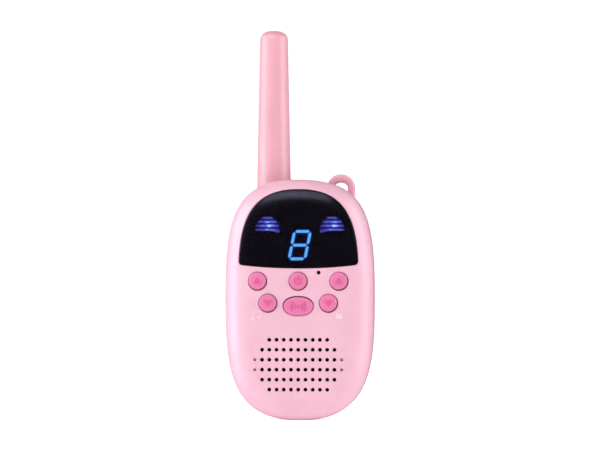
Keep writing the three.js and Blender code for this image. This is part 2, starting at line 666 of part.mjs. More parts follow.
function backShell() {
  const endY = PARTING_Y + GAP / 2;
  const outer = half(false, 0, endY, BACK_EDGE_STEPS);
  const cavity = half(false, WALL, PARTING_Y - 1, CAVITY_EDGE_STEPS);
  const inside = half(false, WALL / 2, endY, CAVITY_EDGE_STEPS);
  const pillars = PILLARS.map(([x, z]) => barY(x, z, PILLAR_RADIUS, endY, BACK_Y - 1));
  const fittings = join(batteryWell(), antennaSocket(), ...pillars).intersect(inside);
  const hull = join(outer, strapLoop()).subtract(cavity);
  const inner = ANTENNA_BASE_RADIUS + GAP;
  const doorReach = DOOR_HALF_WIDTH + GAP;
  const grooveReach = doorReach + TONGUE_WIDTH;
  const screwHoles = PILLARS.flatMap(([x, z]) => [
    barY(x, z, SCREW_HEAD_RADIUS + GAP, SCREW_SEAT_Y, BACK_Y + 1),
    barY(x, z, SCREW_RADIUS + GAP, endY - 1, BACK_Y, SMALL_ROUND),
  ]);
  return cut(
    join(hull, fittings, ...clipLugs()),
    box(
      [-WELL_HALF_WIDTH, WELL_HALF_WIDTH],
      [WELL_FLOOR_Y, BACK_Y + 1],
      [WELL_BOTTOM, WELL_TOP],
    ),
    box([-doorReach, doorReach], [DOOR_UNDER_Y - GAP, BACK_Y + 1], [-1, DOOR_TOP + GAP]),
    box(
      [-grooveReach, grooveReach],
      [DOOR_UNDER_Y - GAP, DOOR_UNDER_Y + TONGUE_THICK + GAP],
      [-1, WELL_TOP + GAP],
    ),
    barZ(ANTENNA_X, ANTENNA_Y, inner, ANTENNA_SEAT_Z, ANTENNA_HEIGHT, 2 * ROUND),
    barZ(ANTENNA_X, ANTENNA_Y, 2 + GAP, ANTENNA_SEAT_Z - 4, ANTENNA_SEAT_Z + 1),
    ...screwHoles,
    box([-HALF_WIDTH, HALF_WIDTH], [PARTING_Y, BACK_Y], [-1, 0]),
  );
}

// A pan-head screw that points towards -Y, its seat at y = 0.
const screw = (shank, length, headRadius, headDepth) =>
  turned(
    [
      [0, -length],
      [shank * 0.5, -length],
      [shank, -length + 1],
      [shank, 0],
      [headRadius, 0],
      [headRadius, headDepth * 0.6],
      [headRadius * 0.7, headDepth],
      [0, headDepth],
    ],
    12,
  );

const caseScrews = PILLARS.map(([x, z], i) => {
  const length = SCREW_SEAT_Y - PARTING_Y + SCREW_BITE;
  const shape = screw(SCREW_RADIUS, length, SCREW_HEAD_RADIUS, SCREW_HEAD_DEPTH);
  return group(x, SCREW_SEAT_Y + GAP, z, piece("case_screw_" + (i + 1), shape, STEEL));
});

// ------------------------------------------------------------------ display

function lens() {
  const sheet = frontSkin(LENS_SINK, LENS_SINK + LENS_THICK);
  return sheet.intersect(slab(lensShape(GAP), FRONT_Y - 1, PARTING_Y));
}

const DIGIT_FRAME = { halfWidth: DIGIT_WIDTH / 2 + 2, halfHeight: DIGIT_HEIGHT / 2 + 0.4 };

// The dark tray behind the lens, with windows for the digit and the two lamps.
function mask() {
  const depth = WALL + GAP;
  const sheet = frontSkin(depth, depth + MASK_THICK);
  const { halfWidth, halfHeight } = DIGIT_FRAME;
  return cut(
    sheet.intersect(slab(lensShape(0.2), FRONT_Y, PARTING_Y)),
    box(
      [DISPLAY_X - halfWidth - GAP, DISPLAY_X + halfWidth + GAP],
      [FRONT_Y, PARTING_Y],
      [DIGIT_Z - halfHeight - GAP, DIGIT_Z + halfHeight + GAP],
    ),
    ...[-EYE_X, EYE_X].map((x) =>
      barY(DISPLAY_X + x, LAMP_Z, LED_RADIUS + GAP, FRONT_Y, PARTING_Y, 12),
    ),
    barY(MIC_X, MIC_Z, MIC_RADIUS + MIC_BOOT_WALL + GAP, FRONT_Y, PARTING_Y, 12),
    ...PILLARS.map(([x, z]) => barY(x, z, PILLAR_RADIUS + GAP, FRONT_Y, PARTING_Y)),
  );
}

// A figure eight of seven leaning bars on a thin plate.
function digit(y0, plateY, y1) {
  const { halfWidth, halfHeight } = DIGIT_FRAME;
  const lean = (x, z) => [x + z * DIGIT_SLANT, z];
  const spare = 0.25; // between the ends of two bars
  const w = DIGIT_WIDTH / 2;
  const h = DIGIT_HEIGHT / 2;
  const t = DIGIT_BAR / 2;
  const across = (z) => {
    const end = w - t - spare;
    return polygon(
      lean(-end - t, z),
      lean(-end, z - t),
      lean(end, z - t),
      lean(end + t, z),
      lean(end, z + t),
      lean(-end, z + t),
    );
  };
  const upright = (x, z) => {
    const end = h / 2 - t - spare + t / 2;
    return polygon(
      lean(x, z - end - t),
      lean(x + t, z - end),
      lean(x + t, z + end),
      lean(x, z + end + t),
      lean(x - t, z + end),
      lean(x - t, z - end),
    );
  };
  const high = h - t;
  const bars = [across(-high), across(0), across(high)];
  [-w + t, w - t].forEach((x) => bars.push(upright(x, high / 2), upright(x, -high / 2)));
  return join(
    box([-halfWidth, halfWidth], [plateY, y1], [-halfHeight, halfHeight]),
    ...bars.map((bar) => slab(bar, y0, plateY + 0.05)),
  );
}

// The half-dome of level stripes in front of a lamp, on a thin plate.
function eyeGuide(y0, plateY, y1) {
  const height = (EYE_STRIPES - 1) * EYE_STRIPE_PITCH;
  const stripes = Array.from({ length: EYE_STRIPES }, (_, i) => {
    const z = i * EYE_STRIPE_PITCH - height / 2;
    const reach = (EYE_WIDTH / 2) * Math.sqrt(1 - 1.45 * (i / EYE_STRIPES) ** 2);
    const t = EYE_STRIPE_THICK / 2;
    return box([-reach, reach], [y0, plateY + 0.05], [z - t, z + t]);
  });
  return join(
    box([-3.2, 3.2], [plateY, y1], [-height / 2 - 0.6, height / 2 + 0.6]),
    ...stripes,
  );
}

function lamp() {
  const base = BOARD_FRONT_Y - GAP;
  const tip = MASK_FRONT_Y + 0.2;
  return turned(
    [
      [0, tip],
      [LED_RADIUS * 0.7, tip + 0.4],
      [LED_RADIUS, tip + 1.4],
      [LED_RADIUS, base],
      [0, base],
    ],
    12,
  );
}

const display = group(
  0,
  0,
  0,
  piece("display_lens", lens(), SMOKED),
  piece("display_mask", mask(), BLACK),
  piece(
    "display_module",
    box(
      [DISPLAY_X - DIGIT_FRAME.halfWidth, DISPLAY_X + DIGIT_FRAME.halfWidth],
      [LENS_BACK_Y + 1.3, BOARD_FRONT_Y - GAP],
      [DIGIT_Z - DIGIT_FRAME.halfHeight, DIGIT_Z + DIGIT_FRAME.halfHeight],
    ),
    BLACK,
  ),
  group(
    DISPLAY_X,
    0,
    DIGIT_Z,
    piece("display_digit", digit(LENS_BACK_Y + GAP, LENS_BACK_Y + 0.7, LENS_BACK_Y + 1), BLUE_LIGHT),
  ),
);
[
  ["left", -EYE_X],
  ["right", EYE_X],
].forEach(([side, x]) => {
  const guide = eyeGuide(LENS_BACK_Y + GAP + 0.2, MASK_FRONT_Y - 0.7, MASK_FRONT_Y - GAP);
  display.add(
    group(
      DISPLAY_X + x,
      0,
      EYE_Z,
      piece(side + "_eye_guide", guide, EYE_LIGHT),
      group(0, 0, LAMP_Z - EYE_Z, piece(side + "_eye_lamp", lamp(), CLEAR)),
    ),
  );
});

// ------------------------------------------------------------------ electronics

function boardShape() {
  const w = BOARD_HALF_WIDTH;
  const cornerCut = 3.5;
  return polygon(
    [-w, BOARD_BOTTOM_Z],
    [w, BOARD_BOTTOM_Z],
    [w, BOARD_TOP_Z - cornerCut],
    [w - cornerCut, BOARD_TOP_Z],
    [-w + cornerCut, BOARD_TOP_Z],
    [-w, BOARD_TOP_Z - cornerCut],
  );
}

// The silicone sheet under the keys, narrower below, where the board's posts stand.
function keypadMat() {
  const backY = BOARD_FRONT_Y - GAP;
  const w = BOARD_HALF_WIDTH;
  const top = UPPER_KEYS_Z + KEY_HOLE_RADIUS + 0.7;
  const postTop = POSTS[0][1] + POST_RADIUS + GAP;
  const lowerWidth = w - 2 * POST_RADIUS - GAP;
  const outline = polygon(
    [-lowerWidth, BOARD_BOTTOM_Z],
    [lowerWidth, BOARD_BOTTOM_Z],
    [lowerWidth, postTop],
    [w, postTop],
    [w, top],
    [-w, top],
    [-w, postTop],
    [-lowerWidth, postTop],
  );
  const wells = KEYS.map((key) => keyHole(key, -GAP - 0.5, FRONT_Y, BOARD_BACK_Y));
  return cut(slab(outline, backY - MAT_THICK, backY), ...wells);
}

function board() {
  return cut(
    slab(boardShape(), BOARD_FRONT_Y, BOARD_BACK_Y),
    ...POSTS.map(([x, z]) => barY(x, z, BOARD_SCREW_RADIUS + GAP, FRONT_Y, BACK_Y, SMALL_ROUND)),
  );
}

const boardScrews = POSTS.map(([x, z], i) =>
  group(
    x,
    BOARD_BACK_Y + GAP,
    z,
    piece("board_screw_" + (i + 1), screw(BOARD_SCREW_RADIUS, 4.6, 1.5, 1), STEEL),
  ),
);

const chipFront = BOARD_BACK_Y + GAP;
const electronics = group(
  0,
  0,
  0,
  piece("main_board", board(), BOARD_GREEN),
  piece("keypad_mat", keypadMat(), SILICONE),
  piece(
    "control_chip",
    box([-4.5, 4.5], [chipFront, chipFront + 1.6], [TALK_Z + 8, TALK_Z + 17]),
    BLACK,
  ),
  piece(
    "radio_module",
    box(
      [RADIO_MODULE_X - RADIO_MODULE_SIZE / 2, RADIO_MODULE_X + RADIO_MODULE_SIZE / 2],
      [chipFront, chipFront + 2.2],
      [BOARD_TOP_Z - 4 - RADIO_MODULE_SIZE, BOARD_TOP_Z - 4],
    ),
    STEEL,
  ),
  ...boardScrews,
);

// The microphone in its rubber boot, behind the small hole in the front shell.
const micFront = INNER_FRONT_Y + GAP;
const microphone = group(
  MIC_X,
  0,
  MIC_Z,
  piece("microphone", barY(0, 0, MIC_RADIUS - 0.4, micFront + 0.8, micFront + 2.4, 12), STEEL),
  piece(
    "microphone_boot",
    cut(
      barY(0, 0, MIC_RADIUS + MIC_BOOT_WALL, micFront, micFront + 2.4, 12),
      barY(0, 0, MIC_HOLE_RADIUS, micFront - 1, micFront + 3, SMALL_ROUND),
      barY(0, 0, MIC_RADIUS, micFront + 0.8 - GAP, micFront + 3, 12),
    ),
    BLACK,
  ),
);

// ------------------------------------------------------------------ speaker

// Profiles run from the dust cloth at the front to the magnet at the back, y = 0 at the cloth.
function speaker() {
  const r = SPEAKER_RADIUS;
  const sides = 1.5 * ROUND;
  const coneRadius = r - 2.7;
  const frame = [
    [r, 0.6],
    [r, 1.7],
    [r - 1.6, 1.7],
    [r - 7.5, 4.6],
    [3.2, 4.6],
    [3.2, 4],
    [r - 7.9, 4],
    [r - 2.1, 1.5],
    [r - 2.1, 0.6],
    [r, 0.6],
  ];
  const cone = [
    [0, 1.5],
    [2.4, 1.7],
    [4, 2.3],
    [coneRadius, 0.65],
    [coneRadius, 1],
    [4.3, 2.7],
    [4.3, 3.6],
    [3.7, 3.6],
    [3.7, 2.8],
    [0, 2],
  ];
  return group(
    0,
    INNER_FRONT_Y + 2 * GAP,
    GRILLE_Z,
    piece("speaker_cloth", barY(0, 0, r - 0.4, 0, 0.2, sides), PAPER),
    piece("speaker_frame", turned(frame, sides), STEEL),
    piece("speaker_cone", turned(cone, sides), PAPER),
    piece("speaker_magnet", barY(0, 0, r - 9, 4.6 + GAP, 7.6), MAGNET),
  );
}

// ------------------------------------------------------------------ battery compartment

// A cell about Z, its button end up, from z = 0.
const cell = () =>
  turnedUp([
    [0, 0],
    [CELL_RADIUS - 0.3, 0],
    [CELL_RADIUS, 0.4],
    [CELL_RADIUS, CELL_LENGTH - 1.6],
    [CELL_RADIUS - 0.5, CELL_LENGTH - 1.2],
    [1.9, CELL_LENGTH - 1.2],
    [1.9, CELL_LENGTH],
    [0, CELL_LENGTH],
  ]);

// Each cell stands the other way up from its neighbour, with a spring at its flat end and a
// plate at its button end. The group is turned over for the cells that stand upside down.
const cells = Array.from({ length: CELL_COUNT }, (_, i) => {
  const springLength = CELL_END_ROOM - 2 * GAP - 2 * COIL_WIRE;
  const spring = coilSpring(3.6, 2.2, springLength, 2.5, COIL_WIRE);
  const plate = box(
    [-4, 4],
    [-4, 4],
    [CELL_LENGTH + GAP, CELL_LENGTH + GAP + 0.5],
  );
  const made = group(
    (i - (CELL_COUNT - 1) / 2) * CELL_PITCH,
    CELL_Y,
    (WELL_BOTTOM + WELL_TOP) / 2,
    group(
      0,
      0,
      -CELL_LENGTH / 2,
      piece("battery_cell_" + (i + 1), cell(), CELL_WRAP),
      piece("contact_plate_" + (i + 1), plate, STEEL),
      group(
        0,
        0,
        -GAP - COIL_WIRE - springLength,
        piece("contact_spring_" + (i + 1), spring, STEEL),
      ),
    ),
  );
  if (i % 2 === 1) made.rotation.x = Math.PI;
  return made;
});

// The door is the back's own surface, with a tongue down each side and ribs for a thumb.
function batteryDoor() {
  const under = [DOOR_UNDER_Y, BACK_Y + 1];
  const cover = half(false, 0, PARTING_Y, BACK_EDGE_STEPS).intersect(
    box([-DOOR_HALF_WIDTH, DOOR_HALF_WIDTH], under, [0, DOOR_TOP]),
  );
  const reach = DOOR_HALF_WIDTH + TONGUE_WIDTH;
  const tongues = box(
    [-reach, reach],
    [DOOR_UNDER_Y, DOOR_UNDER_Y + TONGUE_THICK],
    [TONGUE_BOTTOM, WELL_TOP],
  );
  const ribs = Array.from({ length: 5 }, (_, i) => {
    const z = WELL_BOTTOM + 5 + i * 2.4;
    return box([-7, 7], [BACK_Y - 0.5, BACK_Y + 0.5], [z, z + 1]);
  });
  return join(cover, tongues, ...ribs);
}

// ------------------------------------------------------------------ antenna

function antenna() {
  const tipZ = ANTENNA_HEIGHT - ANTENNA_SEAT_Z;
  const standZ = BODY_HEIGHT - ANTENNA_SEAT_Z;
  const boreEnd = tipZ - ANTENNA_CAP;
  const coilFoot = ANTENNA_PEG + GAP + COIL_WIRE;
  const corner = Array.from({ length: 6 }, (_, i) => {
    const angle = (i / 5) * (Math.PI / 2);
    return [
      ANTENNA_TIP_RADIUS - ANTENNA_TIP_ROUND * (1 - Math.cos(angle)),
      tipZ - ANTENNA_TIP_ROUND * (1 - Math.sin(angle)) - 0.25 * Math.cos(angle),
    ];
  });
  const cover = turnedUp(
    [
      [ANTENNA_BORE_RADIUS, GAP],
      [ANTENNA_BASE_RADIUS, GAP],
      [ANTENNA_BASE_RADIUS, standZ],
      ...corner,
      [0, tipZ],
      [0, boreEnd + 1],
      [ANTENNA_BORE_RADIUS - 1, boreEnd + 1],
      [ANTENNA_BORE_RADIUS, boreEnd],
      [ANTENNA_BORE_RADIUS, GAP],
    ],
    1.4 * ROUND,
  );
  const base = turnedUp(
    [
      [0, -4],
      [2, -4],
      [2, GAP],
      [ANTENNA_BORE_RADIUS - GAP, GAP],
      [ANTENNA_BORE_RADIUS - GAP, 3],
      [1.2, 3],
      [1.2, ANTENNA_PEG],
      [0, ANTENNA_PEG],
    ],
    12,
  );
  const coilHeight = boreEnd - COIL_END_ROOM - COIL_WIRE - coilFoot;
  const coil = coilSpring(COIL_RADIUS, COIL_RADIUS, coilHeight, COIL_TURNS, COIL_WIRE);
  return group(
    ANTENNA_X,
    ANTENNA_Y,
    ANTENNA_SEAT_Z,
    piece("antenna_cover", cover, BACK_PINK),
    piece("antenna_base", base, STEEL),
    group(0, 0, coilFoot, piece("antenna_coil", coil, STEEL)),
  );
}

// ------------------------------------------------------------------ belt clip

// Seen from the side, in Y and Z about the pin: the tongue, its hooked tip and the thumb tab.
function clipProfile() {
  const inner = CLIP_INNER_Y - CLIP_Y;
  const outer = CLIP_OUTER_Y - CLIP_Y;
  const tip = BACK_Y + 0.7 - CLIP_Y;
  return polygon(
    [inner, CLIP_TAB],
    [inner, 2],
    [0, 1.6],
    [0, -1.6],
    [inner, -2],
    [inner, -CLIP_LENGTH + 6],
    [tip, -CLIP_LENGTH + 3.5],
    [tip, -CLIP_LENGTH + 2],
    [outer - 1, -CLIP_LENGTH],
    [outer, -CLIP_LENGTH + 1.5],
    [outer, CLIP_TAB - 1],
    [outer - 0.8, CLIP_TAB],
  );
}

function beltClip() {
  const profile = new THREE.ExtrudeGeometry(clipProfile(), {
    depth: 2 * CLIP_HALF_WIDTH,
    bevelEnabled: false,
  });
  // The profile's own X becomes Y, its Y becomes Z and its thickness becomes X.
  profile.rotateX(Math.PI / 2).rotateZ(Math.PI / 2).translate(-CLIP_HALF_WIDTH, 0, 0);
  const inner = CLIP_INNER_Y - CLIP_Y;
  const [padWidth, padHeight] = CLIP_PAD;
  const padMiddle = -CLIP_LENGTH / 2;
  const pad = box(
    [-padWidth / 2, padWidth / 2],
    [inner - CLIP_PAD_RAISE, inner + 0.5],
    [padMiddle - padHeight / 2, padMiddle + padHeight / 2],
  );
  const barrel = barX(0, 0, CLIP_BARREL_RADIUS, -CLIP_HALF_WIDTH, CLIP_HALF_WIDTH);
  const springRoom = 3.4;
  const blade = cut(
    join(solid(profile), pad, barrel),
    barX(0, 0, CLIP_PIN_RADIUS + PIN_CLEARANCE, -CLIP_HALF_WIDTH - 1, CLIP_HALF_WIDTH + 1),
    box([-springRoom, springRoom], [-3, inner - 0.2], [-2.6, 2.6]),
  );
  const pinReach = CLIP_HALF_WIDTH + GAP + CLIP_LUG;
  const turns = 6;
  const pitch = 2 * CLIP_SPRING_WIRE + 0.25;
  const radius = CLIP_PIN_RADIUS + CLIP_SPRING_WIRE + 0.25;
  const coil = coilSpring(radius, radius, turns * pitch, turns, CLIP_SPRING_WIRE);
  const spring = group(
    (-turns * pitch) / 2,
    0,
    0,
    piece("clip_spring", coil, STEEL),
  );
  spring.rotation.y = Math.PI / 2;
  return group(
    0,
    CLIP_Y,
    CLIP_Z,
    piece("belt_clip", blade, BACK_PINK),
    piece("clip_pin", barX(0, 0, CLIP_PIN_RADIUS, -pinReach, pinReach), STEEL),
    spring,
  );
}

// ------------------------------------------------------------------ leads

function lead(name, points, finish) {
  const route = new THREE.CatmullRomCurve3(points.map((point) => new THREE.Vector3(...point)));
  return piece(name, wire(route, 0.5, LEAD_STEPS), finish);
}

const leadY = BOARD_BACK_Y + GAP + 0.8;
// From above the battery compartment to its place on the board, by share of the way.
const batteryLeadZ = (share) => (WELL_TOP + 2) * (1 - share) + (BOARD_BOTTOM_Z + 14) * share;
const leads = group(
  0,
  0,
  0,
  lead(
    "speaker_lead",
    [
      [10, leadY, GRILLE_Z + 3],
      [12, leadY + 0.6, GRILLE_Z + 12],
      [11, leadY + 0.3, BOARD_BOTTOM_Z + 2],
      [10, leadY, BOARD_BOTTOM_Z + 6],
    ],
    WIRE_RED,
  ),
  lead(
    "battery_lead",
    [
      [15, leadY + 0.6, batteryLeadZ(0)],
      [13, leadY + 0.3, batteryLeadZ(0.3)],
      [11, leadY, batteryLeadZ(0.7)],
      [9, leadY, batteryLeadZ(1)],
    ],
    WIRE_RED,
  ),
  lead(
    "antenna_lead",
    [
      [ANTENNA_X, ANTENNA_Y, ANTENNA_SEAT_Z - 5],
      [ANTENNA_X + 2, ANTENNA_Y - 3, ANTENNA_SEAT_Z - 8],
      [ANTENNA_X + 9, leadY + 2, ANTENNA_SEAT_Z - 12],
      [ANTENNA_X + 11, leadY, ANTENNA_SEAT_Z - 16],
    ],
    PAPER,
  ),
);

// ------------------------------------------------------------------ the whole object

const walkieTalkie = new THREE.Group();
walkieTalkie.add(
  piece("front_shell", frontShell(), SHELL_PINK),
  piece("back_shell", backShell(), BACK_PINK),
  ...caseScrews,
  display,
  ...keys,
  electronics,
  microphone,
  speaker(),
  piece("battery_door", batteryDoor(), BACK_PINK),
  ...cells,
  antenna(),
  beltClip(),
  leads,
);

export default walkieTalkie;
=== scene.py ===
# The looks of a toy walkie talkie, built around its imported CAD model.
# Shapes are worked out in millimetres in the CAD model's own frame and scaled to metres at the
# end of each piece. X is across, the front faces -Y, Z is up.
import math

import bmesh
import bpy
import numpy as np
from mathutils import Matrix, Vector


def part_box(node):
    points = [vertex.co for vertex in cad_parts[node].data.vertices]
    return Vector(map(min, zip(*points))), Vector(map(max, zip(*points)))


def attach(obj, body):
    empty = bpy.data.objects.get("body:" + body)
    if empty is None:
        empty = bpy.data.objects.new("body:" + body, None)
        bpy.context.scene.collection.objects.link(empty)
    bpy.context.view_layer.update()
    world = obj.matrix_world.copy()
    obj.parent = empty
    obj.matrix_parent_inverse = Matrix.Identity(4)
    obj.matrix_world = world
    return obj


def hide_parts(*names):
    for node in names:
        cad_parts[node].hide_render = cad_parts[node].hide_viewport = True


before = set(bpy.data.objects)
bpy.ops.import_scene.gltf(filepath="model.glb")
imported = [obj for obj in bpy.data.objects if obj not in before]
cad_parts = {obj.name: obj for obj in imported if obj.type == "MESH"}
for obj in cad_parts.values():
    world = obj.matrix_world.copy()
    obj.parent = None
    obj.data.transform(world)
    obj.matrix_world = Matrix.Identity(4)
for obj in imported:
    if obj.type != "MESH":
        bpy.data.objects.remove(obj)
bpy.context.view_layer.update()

MM = 0.001
FRONT = -1
BACK = 1


def box_mm(node):
    """The lowest and highest corner of a CAD node, in millimetres."""
    low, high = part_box(node)
    return np.array(low) / MM, np.array(high) / MM


def centre_mm(node):
    low, high = box_mm(node)
    return (low + high) / 2


# ---------------- sizes, from the frame

GAP = 0.3  # the clearance between neighbours
SEAM = 0.12  # what shows of the gap between the two shells
SEAM_ROUND = 0.35
HALF_WIDTH = box_mm("front_shell")[1][0]
BODY_HEIGHT = box_mm("front_shell")[1][2]
FRONT_Y = box_mm("front_shell")[0][1]
PARTING_Y = box_mm("front_shell")[1][1] + GAP / 2
OUTLINE_BOTTOM_Z = box_mm("front_shell")[0][2] - 0.15  # the flat foot trims the outline here
DOOR_THICK = 2.2
DOOR_UNDER_Y = box_mm("battery_door")[0][1]
BACK_Y = DOOR_UNDER_Y + DOOR_THICK
WALL = 2.6
SPARE = 1  # how far a cutter reaches past what it cuts
EDGE_WIDTH = 11
EDGE_DEPTH = {FRONT: 9, BACK: 7}
FACE_Y = {FRONT: FRONT_Y, BACK: BACK_Y}
WAIST_Z = 0.527 * BODY_HEIGHT
INNER_FRONT_Y = FRONT_Y + WALL

LENS_SINK = 0.15
LENS_THICK = 1.2
LENS_LEDGE = 2
LENS_RIM = 0.25  # the rounded rim of its opening
LENS_PLAY = 0.16
LENS_EDGE_ROUND = 0.35
LENS_CORNER = 1.9
LENS_CORNER_RISE = 1.2
LENS_HALF_WIDTH = box_mm("display_lens")[1][0] + GAP
LENS_BOTTOM_Z = box_mm("display_lens")[0][2] - GAP
LENS_TOP_Z = BODY_HEIGHT - 3.8

KEY_FLANGE = 0.8
KEY_CROWN = 0.18
KEY_SHOULDER = 0.7
KEY_POINTS = 96
OVAL_FULLNESS = 2.2  # an ellipse has 2
ICON_RAISE = 0.25
# Each cap lies a little to one side in its hole, as loose keys do.
KEY_OFFSET = (-0.1, 0.12)
TALK_KEY_OFFSET = (0.04, -0.14)
HOLE_LIP = 0.1
GRILLE_Z = centre_mm("speaker_frame")[2]
GRILLE_HOLE_RADIUS = 0.77
GRILLE_PITCH_X = 2.88
GRILLE_PITCH_Z = 3.96
GRILLE_ROWS = [9, 11, 11, 11, 11, 9]
DIMPLE_RADIUS = 0.62
DIMPLE_DEPTH = 1.2
CLOTH_RADIUS = 16.3  # clear of the outermost holes
CLOTH_PLAY = 0.1
SPEAKER_RING_WALL = 1
SPEAKER_RING_HEIGHT = 2.4
ROOTED = 1.2  # how deep a post or ring starts below the outer surface

ANTENNA_X, ANTENNA_Y = centre_mm("antenna_cover")[:2]
ANTENNA_LOW_Z, ANTENNA_TOP_Z = (corner[2] for corner in box_mm("antenna_cover"))
ANTENNA_BASE_RADIUS = 6.7
ANTENNA_FLARE = 0.9
ANTENNA_BORE_RADIUS = 3.4
ANTENNA_CAP = 9  # solid plastic above the bore
ANTENNA_STEM_RADIUS = 2  # of the base's stem below its seat
ANTENNA_SOCKET_WALL = 1.6
ANTENNA_TIP_RADIUS = 5.5
ANTENNA_TIP_ROUND = 3.4
ANTENNA_TIP_REACH = 4.4  # the tip's dome is wider than it is high

LOOP_X = 0.546 * HALF_WIDTH
LOOP_Z = BODY_HEIGHT - 3.4
LOOP_Y = PARTING_Y + 6
LOOP_RADIUS = 5.6
LOOP_HOLE_RADIUS = 2.8
LOOP_HOLE_SQUASH = 0.82  # the hole is a little lower than a half circle
LOOP_THICK = 4
LOOP_ROUND = 0.85  # of the bar's section, as a share of half its width
LOOP_FOOT = 9

CLIP_Y, CLIP_Z = centre_mm("clip_pin")[1:]
CLIP_HALF_WIDTH = box_mm("belt_clip")[1][0]
CLIP_OUTER_Y = box_mm("belt_clip")[1][1]
CLIP_THICK = 1.8
CLIP_INNER_Y = CLIP_OUTER_Y - CLIP_THICK
CLIP_LENGTH = CLIP_Z - box_mm("belt_clip")[0][2]
CLIP_TAB = box_mm("belt_clip")[1][2] - CLIP_Z
CLIP_BARREL_RADIUS = 2.2
CLIP_PAD = (6, 12)  # half the pad's width and height
CLIP_PAD_RAISE = 0.4
CLIP_PIN_RADIUS = 1
CLIP_LUG = 3
CLIP_LUG_RADIUS = CLIP_BARREL_RADIUS + 0.6
CLIP_SPRING_ROOM = 3.4

WELL_HALF_WIDTH = 16.85
WELL_BOTTOM = 9.5
WELL_TOP = 60.5
WELL_WALL = 1.5
CELL_DIAMETER = 10.5
WELL_FLOOR_Y = DOOR_UNDER_Y - GAP - CELL_DIAMETER - GAP
DOOR_HALF_WIDTH = 18.35
DOOR_CORNER = 2.4
DOOR_PLAY = 0.08  # under the door
GROOVE_PLAY = 0.12  # over its tongues
DOOR_RIM = 1.8  # the shell's wall beside a groove
RIB_HALF = (7, 0.5)  # half a rib's width and height
RIB_COUNT = 5
RIB_PITCH = 2.4
DOOR_TOP = box_mm("battery_door")[1][2]
TONGUE = 1

PILLARS = [tuple(centre_mm(f"case_screw_{i}")[[0, 2]]) for i in (1, 2, 3, 4)]
SCREW_SEAT_Y = PARTING_Y + 6
SCREW_HEAD_RADIUS = 2.1
SCREW_SHANK_RADIUS = 1
SCREW_WELL_RADIUS = 2.4
SCREW_HOLE_RADIUS = 1.3
PILOT_RADIUS = 1.1
PILOT_DEPTH = 7.3
PILLAR_RADIUS = 2.8

# How finely the curves are drawn.
OUTLINE_STEPS = 240
EDGE_STEPS = 18
ROUND = 48
SMALL_ROUND = 24


# ---------------- outlines in X and Z


def bezier(p0, p1, p2, p3, steps=120):
    """Points along a cubic curve, without its last one."""
    t = np.linspace(0, 1, steps, endpoint=False)[:, None]
    p0, p1, p2, p3 = (np.array(p, float) for p in (p0, p1, p2, p3))
    return (1 - t) ** 3 * p0 + 3 * (1 - t) ** 2 * t * p1 + 3 * (1 - t) * t**2 * p2 + t**3 * p3


def quadratic(p0, p1, p2):
    """A curve that is pulled towards one point, p1."""
    p0, p1, p2 = (np.array(p, float) for p in (p0, p1, p2))
    return bezier(p0, p0 + (p1 - p0) * 2 / 3, p2 + (p1 - p2) * 2 / 3, p2, 60)


def evenly(points, count):
    """A closed line's points, spaced evenly along it."""
    closed = np.vstack([points, points[:1]])
    lengths = np.linalg.norm(np.diff(closed, axis=0), axis=1)
    along = np.concatenate([[0], np.cumsum(lengths)])
    wanted = np.linspace(0, along[-1], count, endpoint=False)
    return np.stack([np.interp(wanted, along, closed[:, i]) for i in (0, 1)], axis=1)


def outward(points):
    """The outward normals of a line that runs anticlockwise."""
    along = np.roll(points, -1, axis=0) - np.roll(points, 1, axis=0)
    along /= np.linalg.norm(along, axis=1)[:, None]
    return np.stack([along[:, 1], -along[:, 0]], axis=1)


def moved_in(points, inset):
    """A closed line moved inwards, or outwards where inset is below zero."""
    return points - outward(points) * inset


def mirrored(right):
    """A line from the bottom middle up the right side, with its mirror image down the left."""
    left = right[::-1] * np.array([-1, 1])
    return np.vstack([right, left])


def body_outline():
    """The body from the front: widest at the waist, fuller above it than below."""
    bottom = OUTLINE_BOTTOM_Z
    low_side = WAIST_Z - 0.545 * WAIST_Z
    high_side = WAIST_Z + 0.68 * (BODY_HEIGHT - WAIST_Z)
    w, top = HALF_WIDTH, BODY_HEIGHT
    lower = bezier((0, bottom), (w, bottom), (w, low_side), (w, WAIST_Z), 400)
    upper = bezier((w, WAIST_Z), (w, high_side), (0.875 * w, top), (0, top), 400)
    return mirrored(np.vstack([lower, upper, [[0, top]]]))


def lens_outline():
    """The lens from the front: an arch on a gently bowed foot, with small round corners."""
    half, top, bottom = LENS_HALF_WIDTH, LENS_TOP_Z, LENS_BOTTOM_Z
    corner, rise = LENS_CORNER, LENS_CORNER_RISE
    side_z = bottom + rise + corner
    arch = 0.67 * (top - side_z)
    start = (0, bottom)
    foot = (half - corner, bottom + rise)
    side = (half, side_z)
    right = np.vstack(
        [
            quadratic(start, (half / 2, bottom), foot),
            quadratic(foot, (half, bottom + rise + 0.1), side),
            bezier(side, (half - 0.9, side_z + arch), (0.71 * half, top), (0, top)),
            [[0, top]],
        ]
    )
    return mirrored(right)


def ellipse(half_width, half_height, sides=ROUND, x=0.0, z=0.0):
    """An ellipse about (x, z), anticlockwise."""
    angle = np.linspace(0, 2 * math.pi, sides, endpoint=False)
    return np.stack([x + half_width * np.cos(angle), z + half_height * np.sin(angle)], axis=1)


def rounded_box(x0, x1, z0, z1, radius, steps=8):
    """A rectangle with round corners, anticlockwise."""
    corners = [(x1, z0, -90), (x1, z1, 0), (x0, z1, 90), (x0, z0, 180)]
    points = []
    for x, z, start in corners:
        in_x, in_z = 1 if x == x0 else -1, 1 if z == z0 else -1
        for a in np.radians(np.linspace(start, start + 90, steps)):
            points.append((x + radius * (in_x + math.cos(a)), z + radius * (in_z + math.sin(a))))
    return np.array(points)


